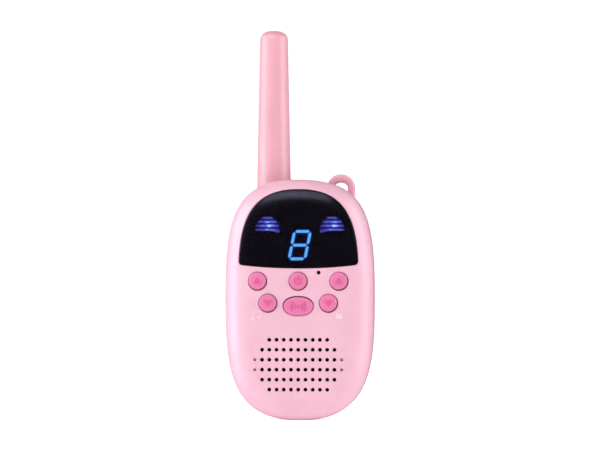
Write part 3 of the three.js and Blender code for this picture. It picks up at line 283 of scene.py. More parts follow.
DENSE_OUTLINE = evenly(body_outline(), 2400)
OUTLINE = evenly(body_outline(), OUTLINE_STEPS)
OUTLINE_NORMALS = outward(OUTLINE)
LENS_OUTLINE = evenly(lens_outline(), 220)


def edge_distance(points):
    """How far points in X and Z are inside the body's outline."""
    apart = points[:, None, :] - DENSE_OUTLINE[None, :, :]
    return np.sqrt((apart**2).sum(axis=2).min(axis=1))


def skin_y(points, depth=0.0, side=FRONT):
    """Y of the front or back surface over points in X and Z, moved in by depth."""
    inset = edge_distance(points)
    cosine = np.clip(1 - (inset - depth) / (EDGE_WIDTH - depth), 0, 1)
    edge_y = FACE_Y[side] - side * EDGE_DEPTH[side]
    return edge_y + side * (EDGE_DEPTH[side] - depth) * np.sqrt(1 - cosine**2)


def at_y(points, y):
    """Points in X and Z as points in space, y being one value or one for each point."""
    y = np.broadcast_to(y, len(points))
    return np.stack([points[:, 0], y, points[:, 1]], axis=1)


def body_ring(inset, y):
    """The body's outline in space, moved in by inset."""
    return at_y(OUTLINE - OUTLINE_NORMALS * inset, y)


# ---------------- solids


def placed(name, data):
    """A new object in the scene."""
    made = bpy.data.objects.new(name, data)
    bpy.context.scene.collection.objects.link(made)
    return made


def solid(points, faces):
    """A closed mesh as an object, in millimetres, with its faces turned outwards."""
    mesh = bpy.data.meshes.new("solid")
    mesh.from_pydata([tuple(map(float, p)) for p in points], [], faces)
    work = bmesh.new()
    work.from_mesh(mesh)
    bmesh.ops.remove_doubles(work, verts=work.verts, dist=1e-5)
    bmesh.ops.recalc_face_normals(work, faces=work.faces)
    work.to_mesh(mesh)
    work.free()
    return placed("solid", mesh)


def loft(rings, caps=True):
    """Rings of equal count joined in order. Without caps, the last ring joins the first."""
    count = len(rings[0])
    points = np.vstack(rings)
    faces = []
    levels = len(rings) - 1 if caps else len(rings)
    for level in range(levels):
        low = level * count
        high = ((level + 1) % len(rings)) * count
        for i in range(count):
            j = (i + 1) % count
            faces.append((low + i, low + j, high + j, high + i))
    if caps:
        faces.append(tuple(range(count)))
        faces.append(tuple(range(len(points) - count, len(points))))
    return solid(points, faces)


def prism(points, y0, y1):
    """A closed line in X and Z, given a thickness in Y."""
    return loft([at_y(points, y0), at_y(points, y1)])


def turned(profile, sides=ROUND, centre=(0, 0, 0), axis="Z"):
    """A turned piece. Its profile is a closed line of (radius, height) that may touch the axis."""
    points, faces, rings = [], [], []
    for radius, height in profile:
        if radius < 1e-6:
            rings.append([len(points)] * sides)
            points.append((0, 0, height))
            continue
        rings.append([len(points) + i for i in range(sides)])
        for angle in np.linspace(0, 2 * math.pi, sides, endpoint=False):
            points.append((radius * math.cos(angle), radius * math.sin(angle), height))
    for low, high in zip(rings, rings[1:] + rings[:1]):
        for i in range(sides):
            j = (i + 1) % sides
            corners = list(dict.fromkeys((low[i], low[j], high[j], high[i])))
            if len(corners) > 2:
                faces.append(tuple(corners))
    made = np.array(points, float)
    if axis == "Y":
        made = made[:, [0, 2, 1]]
    if axis == "X":
        made = made[:, [2, 0, 1]]
    return solid(made + np.array(centre, float), faces)


def bar(radius, start, end, sides=SMALL_ROUND, centre=(0, 0, 0), axis="Y"):
    """A round bar along an axis, from start to end as seen from its centre."""
    profile = [(0, start), (radius, start), (radius, end), (0, end)]
    return turned(profile, sides, centre, axis)


def block(x, y, z):
    """A box, from the pairs of its lowest and highest X, Y and Z."""
    corners = np.array([(x[0], z[0]), (x[1], z[0]), (x[1], z[1]), (x[0], z[1])], float)
    return prism(corners, y[0], y[1])


def applied(made):
    """The object with its modifiers turned into plain mesh."""
    bpy.context.view_layer.update()
    graph = bpy.context.evaluated_depsgraph_get()
    mesh = bpy.data.meshes.new_from_object(made.evaluated_get(graph))
    made.modifiers.clear()
    made.data = mesh
    return made


def combine(made, others, operation):
    """Changes one solid by others, which are used up."""
    for other in others:
        modifier = made.modifiers.new("combine", "BOOLEAN")
        modifier.operation = operation
        modifier.solver = "MANIFOLD"
        modifier.object = other
        applied(made)
        bpy.data.objects.remove(other)
    return made


def join(made, *others):
    return combine(made, others, "UNION")


def cut(made, *others):
    return combine(made, others, "DIFFERENCE")


def shared(made, *others):
    return combine(made, others, "INTERSECT")


def together(solids):
    """Solids that don't touch, as one object, so that they cut in one go."""
    work = bmesh.new()
    for one in solids:
        work.from_mesh(one.data)
        bpy.data.objects.remove(one)
    mesh = bpy.data.meshes.new("together")
    work.to_mesh(mesh)
    work.free()
    return placed("together", mesh)


def bevelled(made, width, angle=40):
    """The solid with its edges sharper than an angle rounded over."""
    modifier = made.modifiers.new("bevel", "BEVEL")
    modifier.width = width
    modifier.segments = 3
    modifier.limit_method = "ANGLE"
    modifier.angle_limit = math.radians(angle)
    modifier.harden_normals = False
    return applied(made)


def piece(made, name, material, body="casing", stands_for=(), sharp=32):
    """Turns a solid in millimetres into a finished, named piece of the visual model."""
    made.name = name
    made.data.name = name
    made.data.transform(Matrix.Scale(MM, 4))
    made.data.shade_smooth()
    made.data.set_sharp_from_angle(angle=math.radians(sharp))
    weighted = made.modifiers.new("weighted", "WEIGHTED_NORMAL")
    weighted.keep_sharp = True
    weighted.weight = 80
    made.data.materials.clear()
    made.data.materials.append(material)
    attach(made, body)
    if stands_for:
        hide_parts(*stands_for)
    return made


# ---------------- materials


def linear(red, green, blue):
    """A colour from its usual 0 to 255 numbers, in linear light."""
    channels = []
    for value in (red, green, blue):
        share = value / 255
        channels.append(share / 12.92 if share <= 0.04045 else ((share + 0.055) / 1.055) ** 2.4)
    return (*channels, 1.0)


def shaded(colour, factor):
    """A colour made darker or lighter by a factor."""
    return (*(min(1.0, channel * factor) for channel in colour[:3]), 1.0)


def fill(node, **values):
    """Sets a node's inputs, with _ for each space in a name."""
    for key, value in values.items():
        node.inputs[key.replace("_", " ")].default_value = value


class Nodes:
    """A material's node tree, with a short way to add and link nodes."""

    def __init__(self, name):
        self.material = bpy.data.materials.new(name)
        self.material.use_nodes = True
        self.tree = self.material.node_tree
        self.shader = self.tree.nodes["Principled BSDF"]
        self.place = self.add("ShaderNodeTexCoord").outputs["Object"]

    def add(self, kind, **settings):
        node = self.tree.nodes.new(kind)
        for key, value in settings.items():
            setattr(node, key, value)
        return node

    def link(self, output, target):
        self.tree.links.new(output, target)

    def noise(self, scale, detail=2.0, stretch=None):
        """Cloudy values, finer at a higher scale."""
        node = self.add("ShaderNodeTexNoise")
        fill(node, Scale=scale, Detail=detail)
        source = self.place
        if stretch:
            mapping = self.add("ShaderNodeMapping")
            fill(mapping, Scale=stretch)
            self.link(source, mapping.inputs["Vector"])
            source = mapping.outputs["Vector"]
        self.link(source, node.inputs["Vector"])
        return node.outputs["Fac"]

    def ranged(self, value, low, high, start=0.3, end=0.7):
        """A value from between start and end, spread from low to high."""
        node = self.add("ShaderNodeMapRange")
        fill(node, From_Min=start, From_Max=end, To_Min=low, To_Max=high)
        self.link(value, node.inputs["Value"])
        return node.outputs["Result"]

    def ramp(self, value, stops, interpolation="LINEAR"):
        """A colour chosen by a value, from stops of (position, colour)."""
        node = self.add("ShaderNodeValToRGB")
        node.color_ramp.interpolation = interpolation
        elements = node.color_ramp.elements
        while len(elements) < len(stops):
            elements.new(0.5)
        for element, (position, colour) in zip(elements, stops):
            element.position = position
            element.color = colour
        self.link(value, node.inputs["Fac"])
        return node.outputs["Color"]

    def paint(self, value, stops, interpolation="LINEAR", target="Base Color"):
        """A colour input that follows a value through its stops."""
        self.link(self.ramp(value, stops, interpolation), self.shader.inputs[target])

    def tint(self, value, colour, dark, light, target="Base Color"):
        """One colour, darker and lighter with a value."""
        stops = [(0.3, shaded(colour, dark)), (0.7, shaded(colour, light))]
        self.paint(value, stops, target=target)

    def gloss(self, value, low, high):
        """Roughness that follows a value."""
        self.link(self.ranged(value, low, high), self.shader.inputs["Roughness"])

    def bump(self, height, strength, distance):
        """A surface that rises with height, distance being in metres."""
        node = self.add("ShaderNodeBump")
        fill(node, Strength=strength, Distance=distance)
        self.link(height, node.inputs["Height"])
        self.link(node.outputs["Normal"], self.shader.inputs["Normal"])

    def set(self, **values):
        """Sets the shader's own inputs."""
        fill(self.shader, **values)


def plastic(name, colour, roughness, grain=0.08, ior=1.5, alpha=None):
    """Moulded plastic: a cloudy tint, uneven gloss and the fine grain of the mould."""
    nodes = Nodes(name)
    spread = 0.035
    nodes.tint(nodes.noise(70, 3), colour, 1 - spread, 1 + spread)
    nodes.gloss(nodes.noise(260, 2), roughness - spread, roughness + spread)
    nodes.bump(nodes.noise(2600, 2), grain, 0.00005)
    nodes.set(IOR=ior)
    if alpha is not None:
        # A see-through sheet has a slightly blue shine.
        nodes.set(Alpha=alpha, Specular_Tint=(0.7, 0.7, 1, 1))
    return nodes.material


def metal(name, colour, roughness, stretch=(1, 1, 14)):
    """Drawn or stamped metal with fine streaks."""
    nodes = Nodes(name)
    streaks = nodes.noise(420, 3, stretch)
    nodes.tint(streaks, colour, 0.86, 1.08)
    nodes.gloss(streaks, roughness - 0.06, roughness + 0.08)
    nodes.bump(streaks, 0.12, 0.00004)
    nodes.set(Metallic=1.0)
    return nodes.material


def board_green():
    """Circuit board: green solder mask with paler copper tracks."""
    nodes = Nodes("board_green")
    tracks = nodes.add("ShaderNodeTexBrick")
    fill(tracks, Scale=260, Mortar_Size=0.06, Mortar=linear(46, 126, 70))
    fill(tracks, Color1=linear(27, 92, 52), Color2=linear(22, 82, 46))
    turn = nodes.add("ShaderNodeMapping")
    fill(turn, Rotation=(math.pi / 2, 0, 0))
    nodes.link(nodes.place, turn.inputs["Vector"])
    nodes.link(turn.outputs["Vector"], tracks.inputs["Vector"])
    nodes.link(tracks.outputs["Color"], nodes.shader.inputs["Base Color"])
    nodes.gloss(nodes.noise(300), 0.28, 0.42)
    nodes.bump(tracks.outputs["Fac"], 0.25, 0.00003)
    return nodes.material


def cell_wrap():
    """A battery's sleeve: silver ends, a violet body and a gold band under the top end."""
    nodes = Nodes("cell_wrap")
    low, high = box_mm("battery_cell_1")
    split = nodes.add("ShaderNodeSeparateXYZ")
    nodes.link(nodes.place, split.inputs["Vector"])
    share = nodes.ranged(split.outputs["Z"], 0, 1, low[2] * MM, high[2] * MM)
    silver, violet = linear(190, 192, 198), linear(74, 60, 110)
    stops = [(0, silver), (0.06, violet), (0.78, linear(214, 186, 120)), (0.94, silver)]
    nodes.paint(share, stops, "CONSTANT")
    nodes.gloss(nodes.noise(240), 0.22, 0.36)
    nodes.bump(nodes.noise(1400), 0.1, 0.00004)
    nodes.set(Metallic=0.35)
    return nodes.material


def fibre(name, colour):
    """Pressed paper or woven dust cloth."""
    nodes = Nodes(name)
    weave = nodes.add("ShaderNodeTexWave")
    fill(weave, Scale=900, Distortion=2.0)
    nodes.link(nodes.place, weave.inputs["Vector"])
    nodes.paint(weave.outputs["Fac"], [(0.2, shaded(colour, 0.6)), (0.8, shaded(colour, 1.3))])
    nodes.gloss(nodes.noise(500), 0.85, 0.98)
    nodes.bump(weave.outputs["Fac"], 0.4, 0.00008)
    nodes.set(IOR=1.15)
    return nodes.material


def lit_digit():
    """Blue light in slightly uneven tones."""
    nodes = Nodes("digit_light")
    stops = [(0.35, linear(66, 176, 240)), (0.65, linear(110, 178, 255))]
    nodes.paint(nodes.noise(900, 2), stops, target="Emission Color")
    nodes.set(Base_Color=linear(20, 60, 110), Roughness=0.4, Emission_Strength=LIT_STRENGTH)
    return nodes.material


def lit_eye(name, lamp, tones, reach):
    """Light that fades with distance from the lamp behind it. reach is in millimetres."""
    nodes = Nodes(name)
    away = nodes.add("ShaderNodeVectorMath", operation="DISTANCE")
    away.inputs[1].default_value = [value * MM for value in lamp]
    nodes.link(nodes.place, away.inputs[0])
    share = nodes.ranged(away.outputs["Value"], 0, 1, 0, reach * MM)
    patch = nodes.ranged(nodes.noise(700, 3), -0.16, 0.16, 0.35, 0.65)
    total = nodes.add("ShaderNodeMath", operation="ADD", use_clamp=True)
    nodes.link(share, total.inputs[0])
    nodes.link(patch, total.inputs[1])
    stops = list(zip((0.08, 0.3, 0.85), tones))
    nodes.paint(total.outputs["Value"], stops, target="Emission Color")
    nodes.set(Base_Color=linear(14, 12, 50), Roughness=0.4, Emission_Strength=LIT_STRENGTH)
    return nodes.material


def glowing(name, colour):
    """A faint, uneven glow."""
    nodes = Nodes(name)
    nodes.tint(nodes.noise(900), colour, 0.8, 1.2, "Emission Color")
    nodes.set(Base_Color=linear(4, 4, 16), Roughness=0.5, Emission_Strength=LIT_STRENGTH)
    return nodes.material


LENS_ALPHA = 0.72
# Light from the display passes the lens's two faces.
LIT_STRENGTH = 1 / (1 - LENS_ALPHA) ** 2

SHELL_PINK = plastic("shell_pink", linear(206, 160, 176), 0.36)
BACK_PINK = plastic("back_pink", linear(201, 144, 157), 0.4)
KEY_PINK = plastic("key_pink", linear(200, 104, 148), 0.42)
ICON_PINK = plastic("icon_pink", linear(196, 76, 122), 0.5)
MARK_PINK = plastic("mark_pink", linear(216, 176, 191), 0.4)
SMOKED = plastic("smoked_lens", linear(12, 9, 16), 0.27, ior=1.38, alpha=LENS_ALPHA, grain=0.02)
PRINT_BLACK = plastic("print_black", linear(8, 6, 8), 0.5)
BLACK = plastic("black_plastic", linear(16, 16, 19), 0.55)
TRAY_BLUE = plastic("tray_blue", linear(6, 5, 14), 0.6)
CLEAR = plastic("lamp_clear", linear(222, 230, 244), 0.14)
SILICONE = plastic("silicone", linear(214, 211, 206), 0.68, grain=0.05)
RED_WIRE = plastic("wire_red", linear(168, 38, 43), 0.48)
BLACK_WIRE = plastic("wire_black", linear(26, 26, 28), 0.5)
STEEL = metal("steel", linear(196, 198, 202), 0.26)
MAGNET_GREY = metal("magnet_grey", linear(92, 92, 98), 0.45, (1, 1, 1))
PAPER = fibre("paper", linear(30, 26, 29))
CLOTH = fibre("dust_cloth", linear(20, 8, 12))
BOARD = board_green()
CELL = cell_wrap()


# ---------------- the two shells


def shell_half(side, depth, end_y, soften=0.0):
    """Half of the body with its surface moved in by depth and its flat end at end_y."""
    edge_y = FACE_Y[side] - side * EDGE_DEPTH[side]
    rings = []
    if soften:
        for angle in np.radians((0, 30, 60)):
            inset = soften * (1 - math.sin(angle))
            rings.append(body_ring(inset, end_y + side * soften * (1 - math.cos(angle))))
        rings.append(body_ring(0, end_y + side * soften))
    else:
        rings.append(body_ring(depth, end_y))
    for angle in np.radians(np.linspace(0, 90, EDGE_STEPS + 1)):
        inset = depth + (EDGE_WIDTH - depth) * (1 - math.cos(angle))
        rings.append(body_ring(inset, edge_y + side * (EDGE_DEPTH[side] - depth) * math.sin(angle)))
    flat = rings[-1]
    middle = np.array([0, flat[0, 1], WAIST_Z])
    for share in (0.8, 0.55, 0.3, 0.1):
        rings.append(middle + (flat - middle) * share)
    return loft(rings)


def lip_rings(points, lip, floor_y, side=FRONT):
    """A cutter for an opening in the skin, flared at the surface, so that the rim is rounded."""
    rings = [at_y(moved_in(points, -lip), FACE_Y[side] + side * 2)]
    for angle in np.radians((0, 22, 45, 67, 90)):
        grown = moved_in(points, -lip * (1 - math.sin(angle)))
        rings.append(at_y(grown, skin_y(grown, 0, side) - side * lip * (1 - math.cos(angle))))
    rings.append(at_y(points, floor_y))
    return rings


def lens_window():
    """The lens's seat: a rounded rim, the pocket, a ledge and the opening through it."""
    rings = lip_rings(LENS_OUTLINE, LENS_RIM, PARTING_Y)[:-1]
    pocket = LENS_SINK + LENS_THICK + 0.1
    rings.append(at_y(LENS_OUTLINE, skin_y(LENS_OUTLINE, pocket)))
    ledge = moved_in(LENS_OUTLINE, LENS_LEDGE)
    rings.append(at_y(ledge, skin_y(ledge, pocket)))
    rings.append(at_y(ledge, PARTING_Y))
    return loft(rings)


def key_names():
    return [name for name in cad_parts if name.endswith("_key")]


def key_shape(name, grow=0.0):
    """A key's hole, wider by grow. The oval one is a little fuller than an ellipse."""
    low, high = box_mm(name)
    half = (high - low) / 2
    mid = (low + high) / 2
    reach = grow - KEY_FLANGE
    fullness = OVAL_FULLNESS if half[0] > half[2] + 1 else 2.0
    angle = np.linspace(0, 2 * math.pi, KEY_POINTS, endpoint=False)
    across, up = np.cos(angle), np.sin(angle)
    x = mid[0] + (half[0] + reach) * np.sign(across) * abs(across) ** (2 / fullness)
    z = mid[2] + (half[2] + reach) * np.sign(up) * abs(up) ** (2 / fullness)
    return evenly(np.stack([x, z], axis=1), KEY_POINTS)


def grille_places():
    """The middles of the speaker's holes, in centred rows."""
    middle = (len(GRILLE_ROWS) - 1) / 2
    return [
        ((i - (count - 1) / 2) * GRILLE_PITCH_X, GRILLE_Z + (row - middle) * GRILLE_PITCH_Z)
        for row, count in enumerate(GRILLE_ROWS)
        for i in range(count)
    ]


def dimple_places():
    """Four blind dimples, one past each end of the two middle rows."""
    reach = (max(GRILLE_ROWS) + 1) / 2 * GRILLE_PITCH_X
    rise = GRILLE_PITCH_Z / 2
    return [(x, GRILLE_Z + z) for x in (-reach, reach) for z in (-rise, rise)]


def round_hole(x, z, radius, floor_y):
    """A cutter for a round hole in the front."""
    return loft(lip_rings(ellipse(radius, radius, SMALL_ROUND, x, z), HOLE_LIP, floor_y))


def below_foot(y0, y1):
    """What the flat foot takes off the body between two values of Y."""
    return block((-HALF_WIDTH, HALF_WIDTH), (y0, y1), (-SPARE, 0))


def speaker_ring():
    """The low wall inside the front that holds the dust cloth."""
    radius = CLOTH_RADIUS + CLOTH_PLAY
    inner = ellipse(radius, radius, ROUND, 0, GRILLE_Z)
    radius += SPEAKER_RING_WALL
    outer = ellipse(radius, radius, ROUND, 0, GRILLE_Z)
    top = INNER_FRONT_Y + SPEAKER_RING_HEIGHT
    ring = [at_y(outer, skin_y(outer) + ROOTED), at_y(outer, top)]
    ring += [at_y(inner, top), at_y(inner, skin_y(inner) + ROOTED)]
    return loft(ring, caps=False)


def front_shell():
    """The front half, with its window, key holes, grille, screw pillars and speaker ring."""
    end_y = PARTING_Y - SEAM / 2
    made = shell_half(FRONT, 0, end_y, soften=SEAM_ROUND)
    cut(made, shell_half(FRONT, WALL, PARTING_Y + SPARE))
    pillars = []
    for x, z in PILLARS:
        start = ellipse(PILLAR_RADIUS, PILLAR_RADIUS, SMALL_ROUND, x, z)
        pillars.append(loft([at_y(start, skin_y(start) + ROOTED), at_y(start, end_y)]))
    join(made, together(pillars))
    join(made, speaker_ring())
    cutters = [lens_window()]
    through = INNER_FRONT_Y + SPARE
    for name in key_names():
        cutters.append(loft(lip_rings(key_shape(name), HOLE_LIP, through)))
    mic = centre_mm("microphone_boot")
    for x, z in grille_places() + [(mic[0], mic[2])]:
        cutters.append(round_hole(x, z, GRILLE_HOLE_RADIUS, through))
    for x, z in dimple_places():
        cutters.append(round_hole(x, z, DIMPLE_RADIUS, FRONT_Y + DIMPLE_DEPTH))
    cut(made, together(cutters))
    ends = (end_y - PILOT_DEPTH, end_y + SPARE)
    cut(made, together([bar(PILOT_RADIUS, *ends, 16, (x, 0, z)) for x, z in PILLARS]))
    cut(made, below_foot(FRONT_Y, PARTING_Y))
    return piece(made, "front_cover", SHELL_PINK, stands_for=["front_shell"])


def strap_loop():
    """The wrist-strap ear: a rounded bar bent over in an arch, its feet inside the body."""
    section = rounded_box(-1, 1, -LOOP_THICK / 2, LOOP_THICK / 2, LOOP_ROUND, 6)
    rings = []

    def add_ring(angle, drop):
        """One section of the bar, from the hole's edge out to the ear's edge."""
        way = np.array([math.cos(angle), math.sin(angle)])
        hole = LOOP_HOLE_RADIUS * math.hypot(way[0], way[1] * LOOP_HOLE_SQUASH)
        middle, half_bar = (LOOP_RADIUS + hole) / 2, (LOOP_RADIUS - hole) / 2
        ring = []
        for u, v in section:
            out = way * (middle + half_bar * u)
            ring.append((LOOP_X + out[0], LOOP_Y + v, LOOP_Z + out[1] - drop))
        rings.append(np.array(ring))

    for drop in (LOOP_FOOT, LOOP_FOOT / 2):
        add_ring(0, drop)
    for angle in np.radians(np.linspace(0, 180, 33)):
        add_ring(angle, 0)
    for drop in (LOOP_FOOT / 2, LOOP_FOOT):
        add_ring(math.pi, drop)
    return loft(rings)


def pin_hole(low, high):
    """A cutter for the clip's pin, from low to high in X."""
    ends = (low - SPARE, high + SPARE)
    return bar(CLIP_PIN_RADIUS + 0.1, *ends, SMALL_ROUND, (0, CLIP_Y, CLIP_Z), "X")


def clip_lugs():
    """The two ears that hold the clip's pin."""
    lugs = []
    radius = CLIP_LUG_RADIUS
    for side in (-1, 1):
        near = side * (CLIP_HALF_WIDTH + GAP)
        far = near + side * CLIP_LUG
        low, high = min(near, far), max(near, far)
        angles = np.radians(np.linspace(0, 180, 25))
        # The lug seen from the side, in Z and Y: a round head on a straight foot.
        head = [(CLIP_Z + radius * math.cos(a), CLIP_Y + radius * math.sin(a)) for a in angles]
        shape = head + [(CLIP_Z - radius, BACK_Y - WALL), (CLIP_Z + radius, BACK_Y - WALL)]
        rings = [np.array([(x, y, z) for z, y in shape]) for x in (low, high)]
        lug = bevelled(loft(rings), 0.35)
        lugs.append(cut(lug, pin_hole(low, high)))
    return lugs


def back_shell():
    """The back half, with the strap ear, battery well, door grooves, socket and clip lugs."""
    end_y = PARTING_Y + SEAM / 2
    made = shell_half(BACK, 0, end_y, soften=SEAM_ROUND)
    join(made, strap_loop())
    cut(made, shell_half(BACK, WALL, PARTING_Y - SPARE))
    inside = shell_half(BACK, WALL / 2, end_y)
    rim_half = DOOR_HALF_WIDTH + TONGUE + DOOR_RIM
    well_half = WELL_HALF_WIDTH + WELL_WALL
    well_z = (WELL_BOTTOM - WELL_WALL, WELL_TOP + WELL_WALL)
    fittings = block((-well_half, well_half), (WELL_FLOOR_Y - WELL_WALL, DOOR_UNDER_Y), well_z)
    join(fittings, block((-rim_half, rim_half), (DOOR_UNDER_Y - 1.9, BACK_Y - 1), well_z))
    socket_radius = ANTENNA_BASE_RADIUS + GAP + ANTENNA_SOCKET_WALL
    seat_z = ANTENNA_LOW_Z - GAP
    antenna = (ANTENNA_X, ANTENNA_Y, 0)
    join(fittings, bar(socket_radius, seat_z - 2, BODY_HEIGHT, ROUND, antenna, "Z"))
    for x, z in PILLARS:
        join(fittings, bar(PILLAR_RADIUS, end_y, BACK_Y - 1, SMALL_ROUND, (x, 0, z)))
    shared(fittings, inside)
    join(made, fittings, *clip_lugs())
    reach = DOOR_HALF_WIDTH + GAP
    groove = reach + TONGUE
    door = rounded_box(-reach, reach, -4, DOOR_TOP + GAP, DOOR_CORNER + 0.2)
    rest_y = DOOR_UNDER_Y - DOOR_PLAY
    groove_y = (rest_y, DOOR_UNDER_Y + TONGUE + GROOVE_PLAY)
    well_x = (-WELL_HALF_WIDTH, WELL_HALF_WIDTH)
    cut(
        made,
        block(well_x, (WELL_FLOOR_Y, BACK_Y + SPARE), (WELL_BOTTOM, WELL_TOP)),
        prism(door, rest_y, BACK_Y + SPARE),
        block((-groove, groove), groove_y, (-SPARE, WELL_TOP + GAP)),
        bar(ANTENNA_BASE_RADIUS + GAP / 2, seat_z, ANTENNA_TOP_Z, ROUND, antenna, "Z"),
        bar(ANTENNA_STEM_RADIUS + GAP, seat_z - 4, seat_z + SPARE, SMALL_ROUND, antenna, "Z"),
    )
    for x, z in PILLARS:
        well = ellipse(SCREW_WELL_RADIUS, SCREW_WELL_RADIUS, ROUND, x, z)
        cut(made, loft(lip_rings(well, 0.3, SCREW_SEAT_Y, BACK)))
        cut(made, bar(SCREW_HOLE_RADIUS, end_y - SPARE, BACK_Y, SMALL_ROUND, (x, 0, z)))
    cut(made, below_foot(PARTING_Y - SPARE, BACK_Y + SPARE))
    return piece(made, "back_cover", BACK_PINK, stands_for=["back_shell"])


# ---------------- display


def sheet_rings(outline, middle, depth, shares):
    """Rings over the front's curve, at a depth, that shrink towards a middle."""
    rings = []
    for share in shares:
        points = middle + (outline - middle) * share
        rings.append(at_y(points, skin_y(points, depth)))
    return rings


def lens():
    """A smoked sheet that follows the front's curve, with a rounded edge."""
    shape = moved_in(LENS_OUTLINE, LENS_PLAY)
    middle = shape.mean(axis=0)
    edge = LENS_EDGE_ROUND
    face = moved_in(shape, edge)
    shares = np.linspace(0.03, 1, 26)
    rings = sheet_rings(face, middle, LENS_SINK, shares)
    for angle in np.radians((30, 60, 90)):
        points = moved_in(shape, edge * (1 - math.sin(angle)))
        rings.append(at_y(points, skin_y(points, LENS_SINK) + edge * (1 - math.cos(angle))))
    back = LENS_SINK + LENS_THICK
    rings.append(at_y(shape, skin_y(shape, back)))
    rings += sheet_rings(face, middle, back, shares[::-1])
    return piece(loft(rings), "lens", SMOKED, stands_for=["display_lens"], sharp=60)


def plate_outline():
    """The digit's dark plate, seen from the front."""
    low, high = box_mm("display_digit")
    return rounded_box(low[0], high[0], low[2], high[2], 0.8)


def lens_print():
    """The black print on the back of the lens, clear over the digit and the two eyes."""
    middle = LENS_OUTLINE.mean(axis=0)
    edge = moved_in(LENS_OUTLINE, 0.2)
    back = LENS_SINK + LENS_THICK
    shares = np.linspace(1, 0.03, 20)
    rings = sheet_rings(edge, middle, back + 0.06, shares[::-1])
    made = loft(rings + sheet_rings(edge, middle, back + 0.02, shares))
    windows = [prism(plate_outline(), FRONT_Y, PARTING_Y)]
    for side in ("left", "right"):
        windows.append(prism(moved_in(eye_dome(side), -0.1), FRONT_Y, PARTING_Y))
    cut(made, together(windows))
    return piece(made, "lens_print", PRINT_BLACK)


def soft_bar(points, y0, y1, round_over):
    """A flat shape whose front edges are rounded over."""
    rings = [at_y(points, y1), at_y(points, y0 + round_over)]
    for angle in np.radians((45, 90)):
        inset = round_over * (1 - math.cos(angle))
        rings.append(at_y(moved_in(points, inset), y0 + round_over * (1 - math.sin(angle))))
    return loft(rings)


DIGIT_HEIGHT = 12
DIGIT_WIDTH = 7.4
DIGIT_SLANT = 0.2
DIGIT_HALF_BAR = 0.55
DIGIT_SPACING = 0.3
DIGIT_HALO = 0.55  # how far the glow reaches round a bar
LIT_SINK = 0.02
LIT_THICK = 0.3
LIT_ROUND = 0.06


def digit():
    """A figure eight of seven leaning bars over a soft halo, on a dark plate."""
    low, high = box_mm("display_digit")
    middle = ((low + high) / 2)[[0, 2]]
    half_bar = DIGIT_HALF_BAR
    w, h = DIGIT_WIDTH / 2 - half_bar, DIGIT_HEIGHT / 2 - half_bar

    def hexagon(x, z, half_length, along_x, grow):
        """A bar with pointed ends about one point, leaning with the digit."""
        t = half_bar + grow
        end = half_length - DIGIT_SPACING + grow
        outline = [(-end, 0), (t - end, -t), (end - t, -t), (end, 0), (end - t, t), (t - end, t)]
        if not along_x:
            outline = [(-v, u) for u, v in outline]
        leaning = [(x + u + (z + v) * DIGIT_SLANT, z + v) for u, v in outline]
        return np.array(leaning) + middle

    def bars(grow):
        made = [hexagon(0, z, w, True, grow) for z in (-h, 0, h)]
        for x in (-w, w):
            made += [hexagon(x, z, h / 2, False, grow) for z in (-h / 2, h / 2)]
        return made

    front = low[1] + LIT_SINK
    back = front + LIT_THICK
    lit = together([soft_bar(shape, front, back, LIT_ROUND) for shape in bars(0)])
    piece(lit, "digit_bars", lit_digit(), stands_for=["display_digit"])
    halos = [prism(shape, back + 0.01, back + 0.06) for shape in bars(DIGIT_HALO)]
    halo = join(halos[0], *halos[1:])
    piece(halo, "digit_halo", glowing("digit_halo", linear(0, 22, 92)))
    tray = bevelled(prism(plate_outline(), back + 0.1, high[1]), 0.1)
    return piece(tray, "digit_plate", TRAY_BLUE)


EYE_HALF_WIDTH = 4.9
EYE_PITCH = 1.6
EYE_THICK = 0.8
EYE_COUNT = 4


def eye_reach(level):
    """Half of the eye's width at a stripe's level, from 0 for the lowest."""
    return EYE_HALF_WIDTH * math.sqrt(max(0.02, 1 - 1.45 * (max(0, level) / EYE_COUNT) ** 2))


def eye_bottom(side):
    """The middle height of an eye's lowest stripe."""
    return centre_mm(side + "_eye_guide")[2] - (EYE_COUNT - 1) * EYE_PITCH / 2


def eye_droop(side, across, reach, level):
    """How far a stripe drops towards its inner end."""
    inner = 1 if side == "left" else -1
    return np.clip(across * inner / reach, 0, 1) ** 2 * (1.1 if level == 0 else 0.1)


def eye_dome(side):
    """The half-dome that the stripes fill, its lower edge drooping inwards."""
    x, bottom = centre_mm(side + "_eye_guide")[0], eye_bottom(side)
    levels = np.linspace(-0.2, 3.25, 24)
    arch = [(eye_reach(level), bottom + level * EYE_PITCH) for level in levels]
    arch += [(-reach, z) for reach, z in arch[::-1]]
    across = np.linspace(-EYE_HALF_WIDTH, EYE_HALF_WIDTH, 30)[1:-1]
    drop = eye_droop(side, across, EYE_HALF_WIDTH, 0)
    base = np.stack([across, bottom - 0.45 - drop], axis=1)
    return evenly(np.vstack([base, arch]) + np.array([x, 0]), 110)


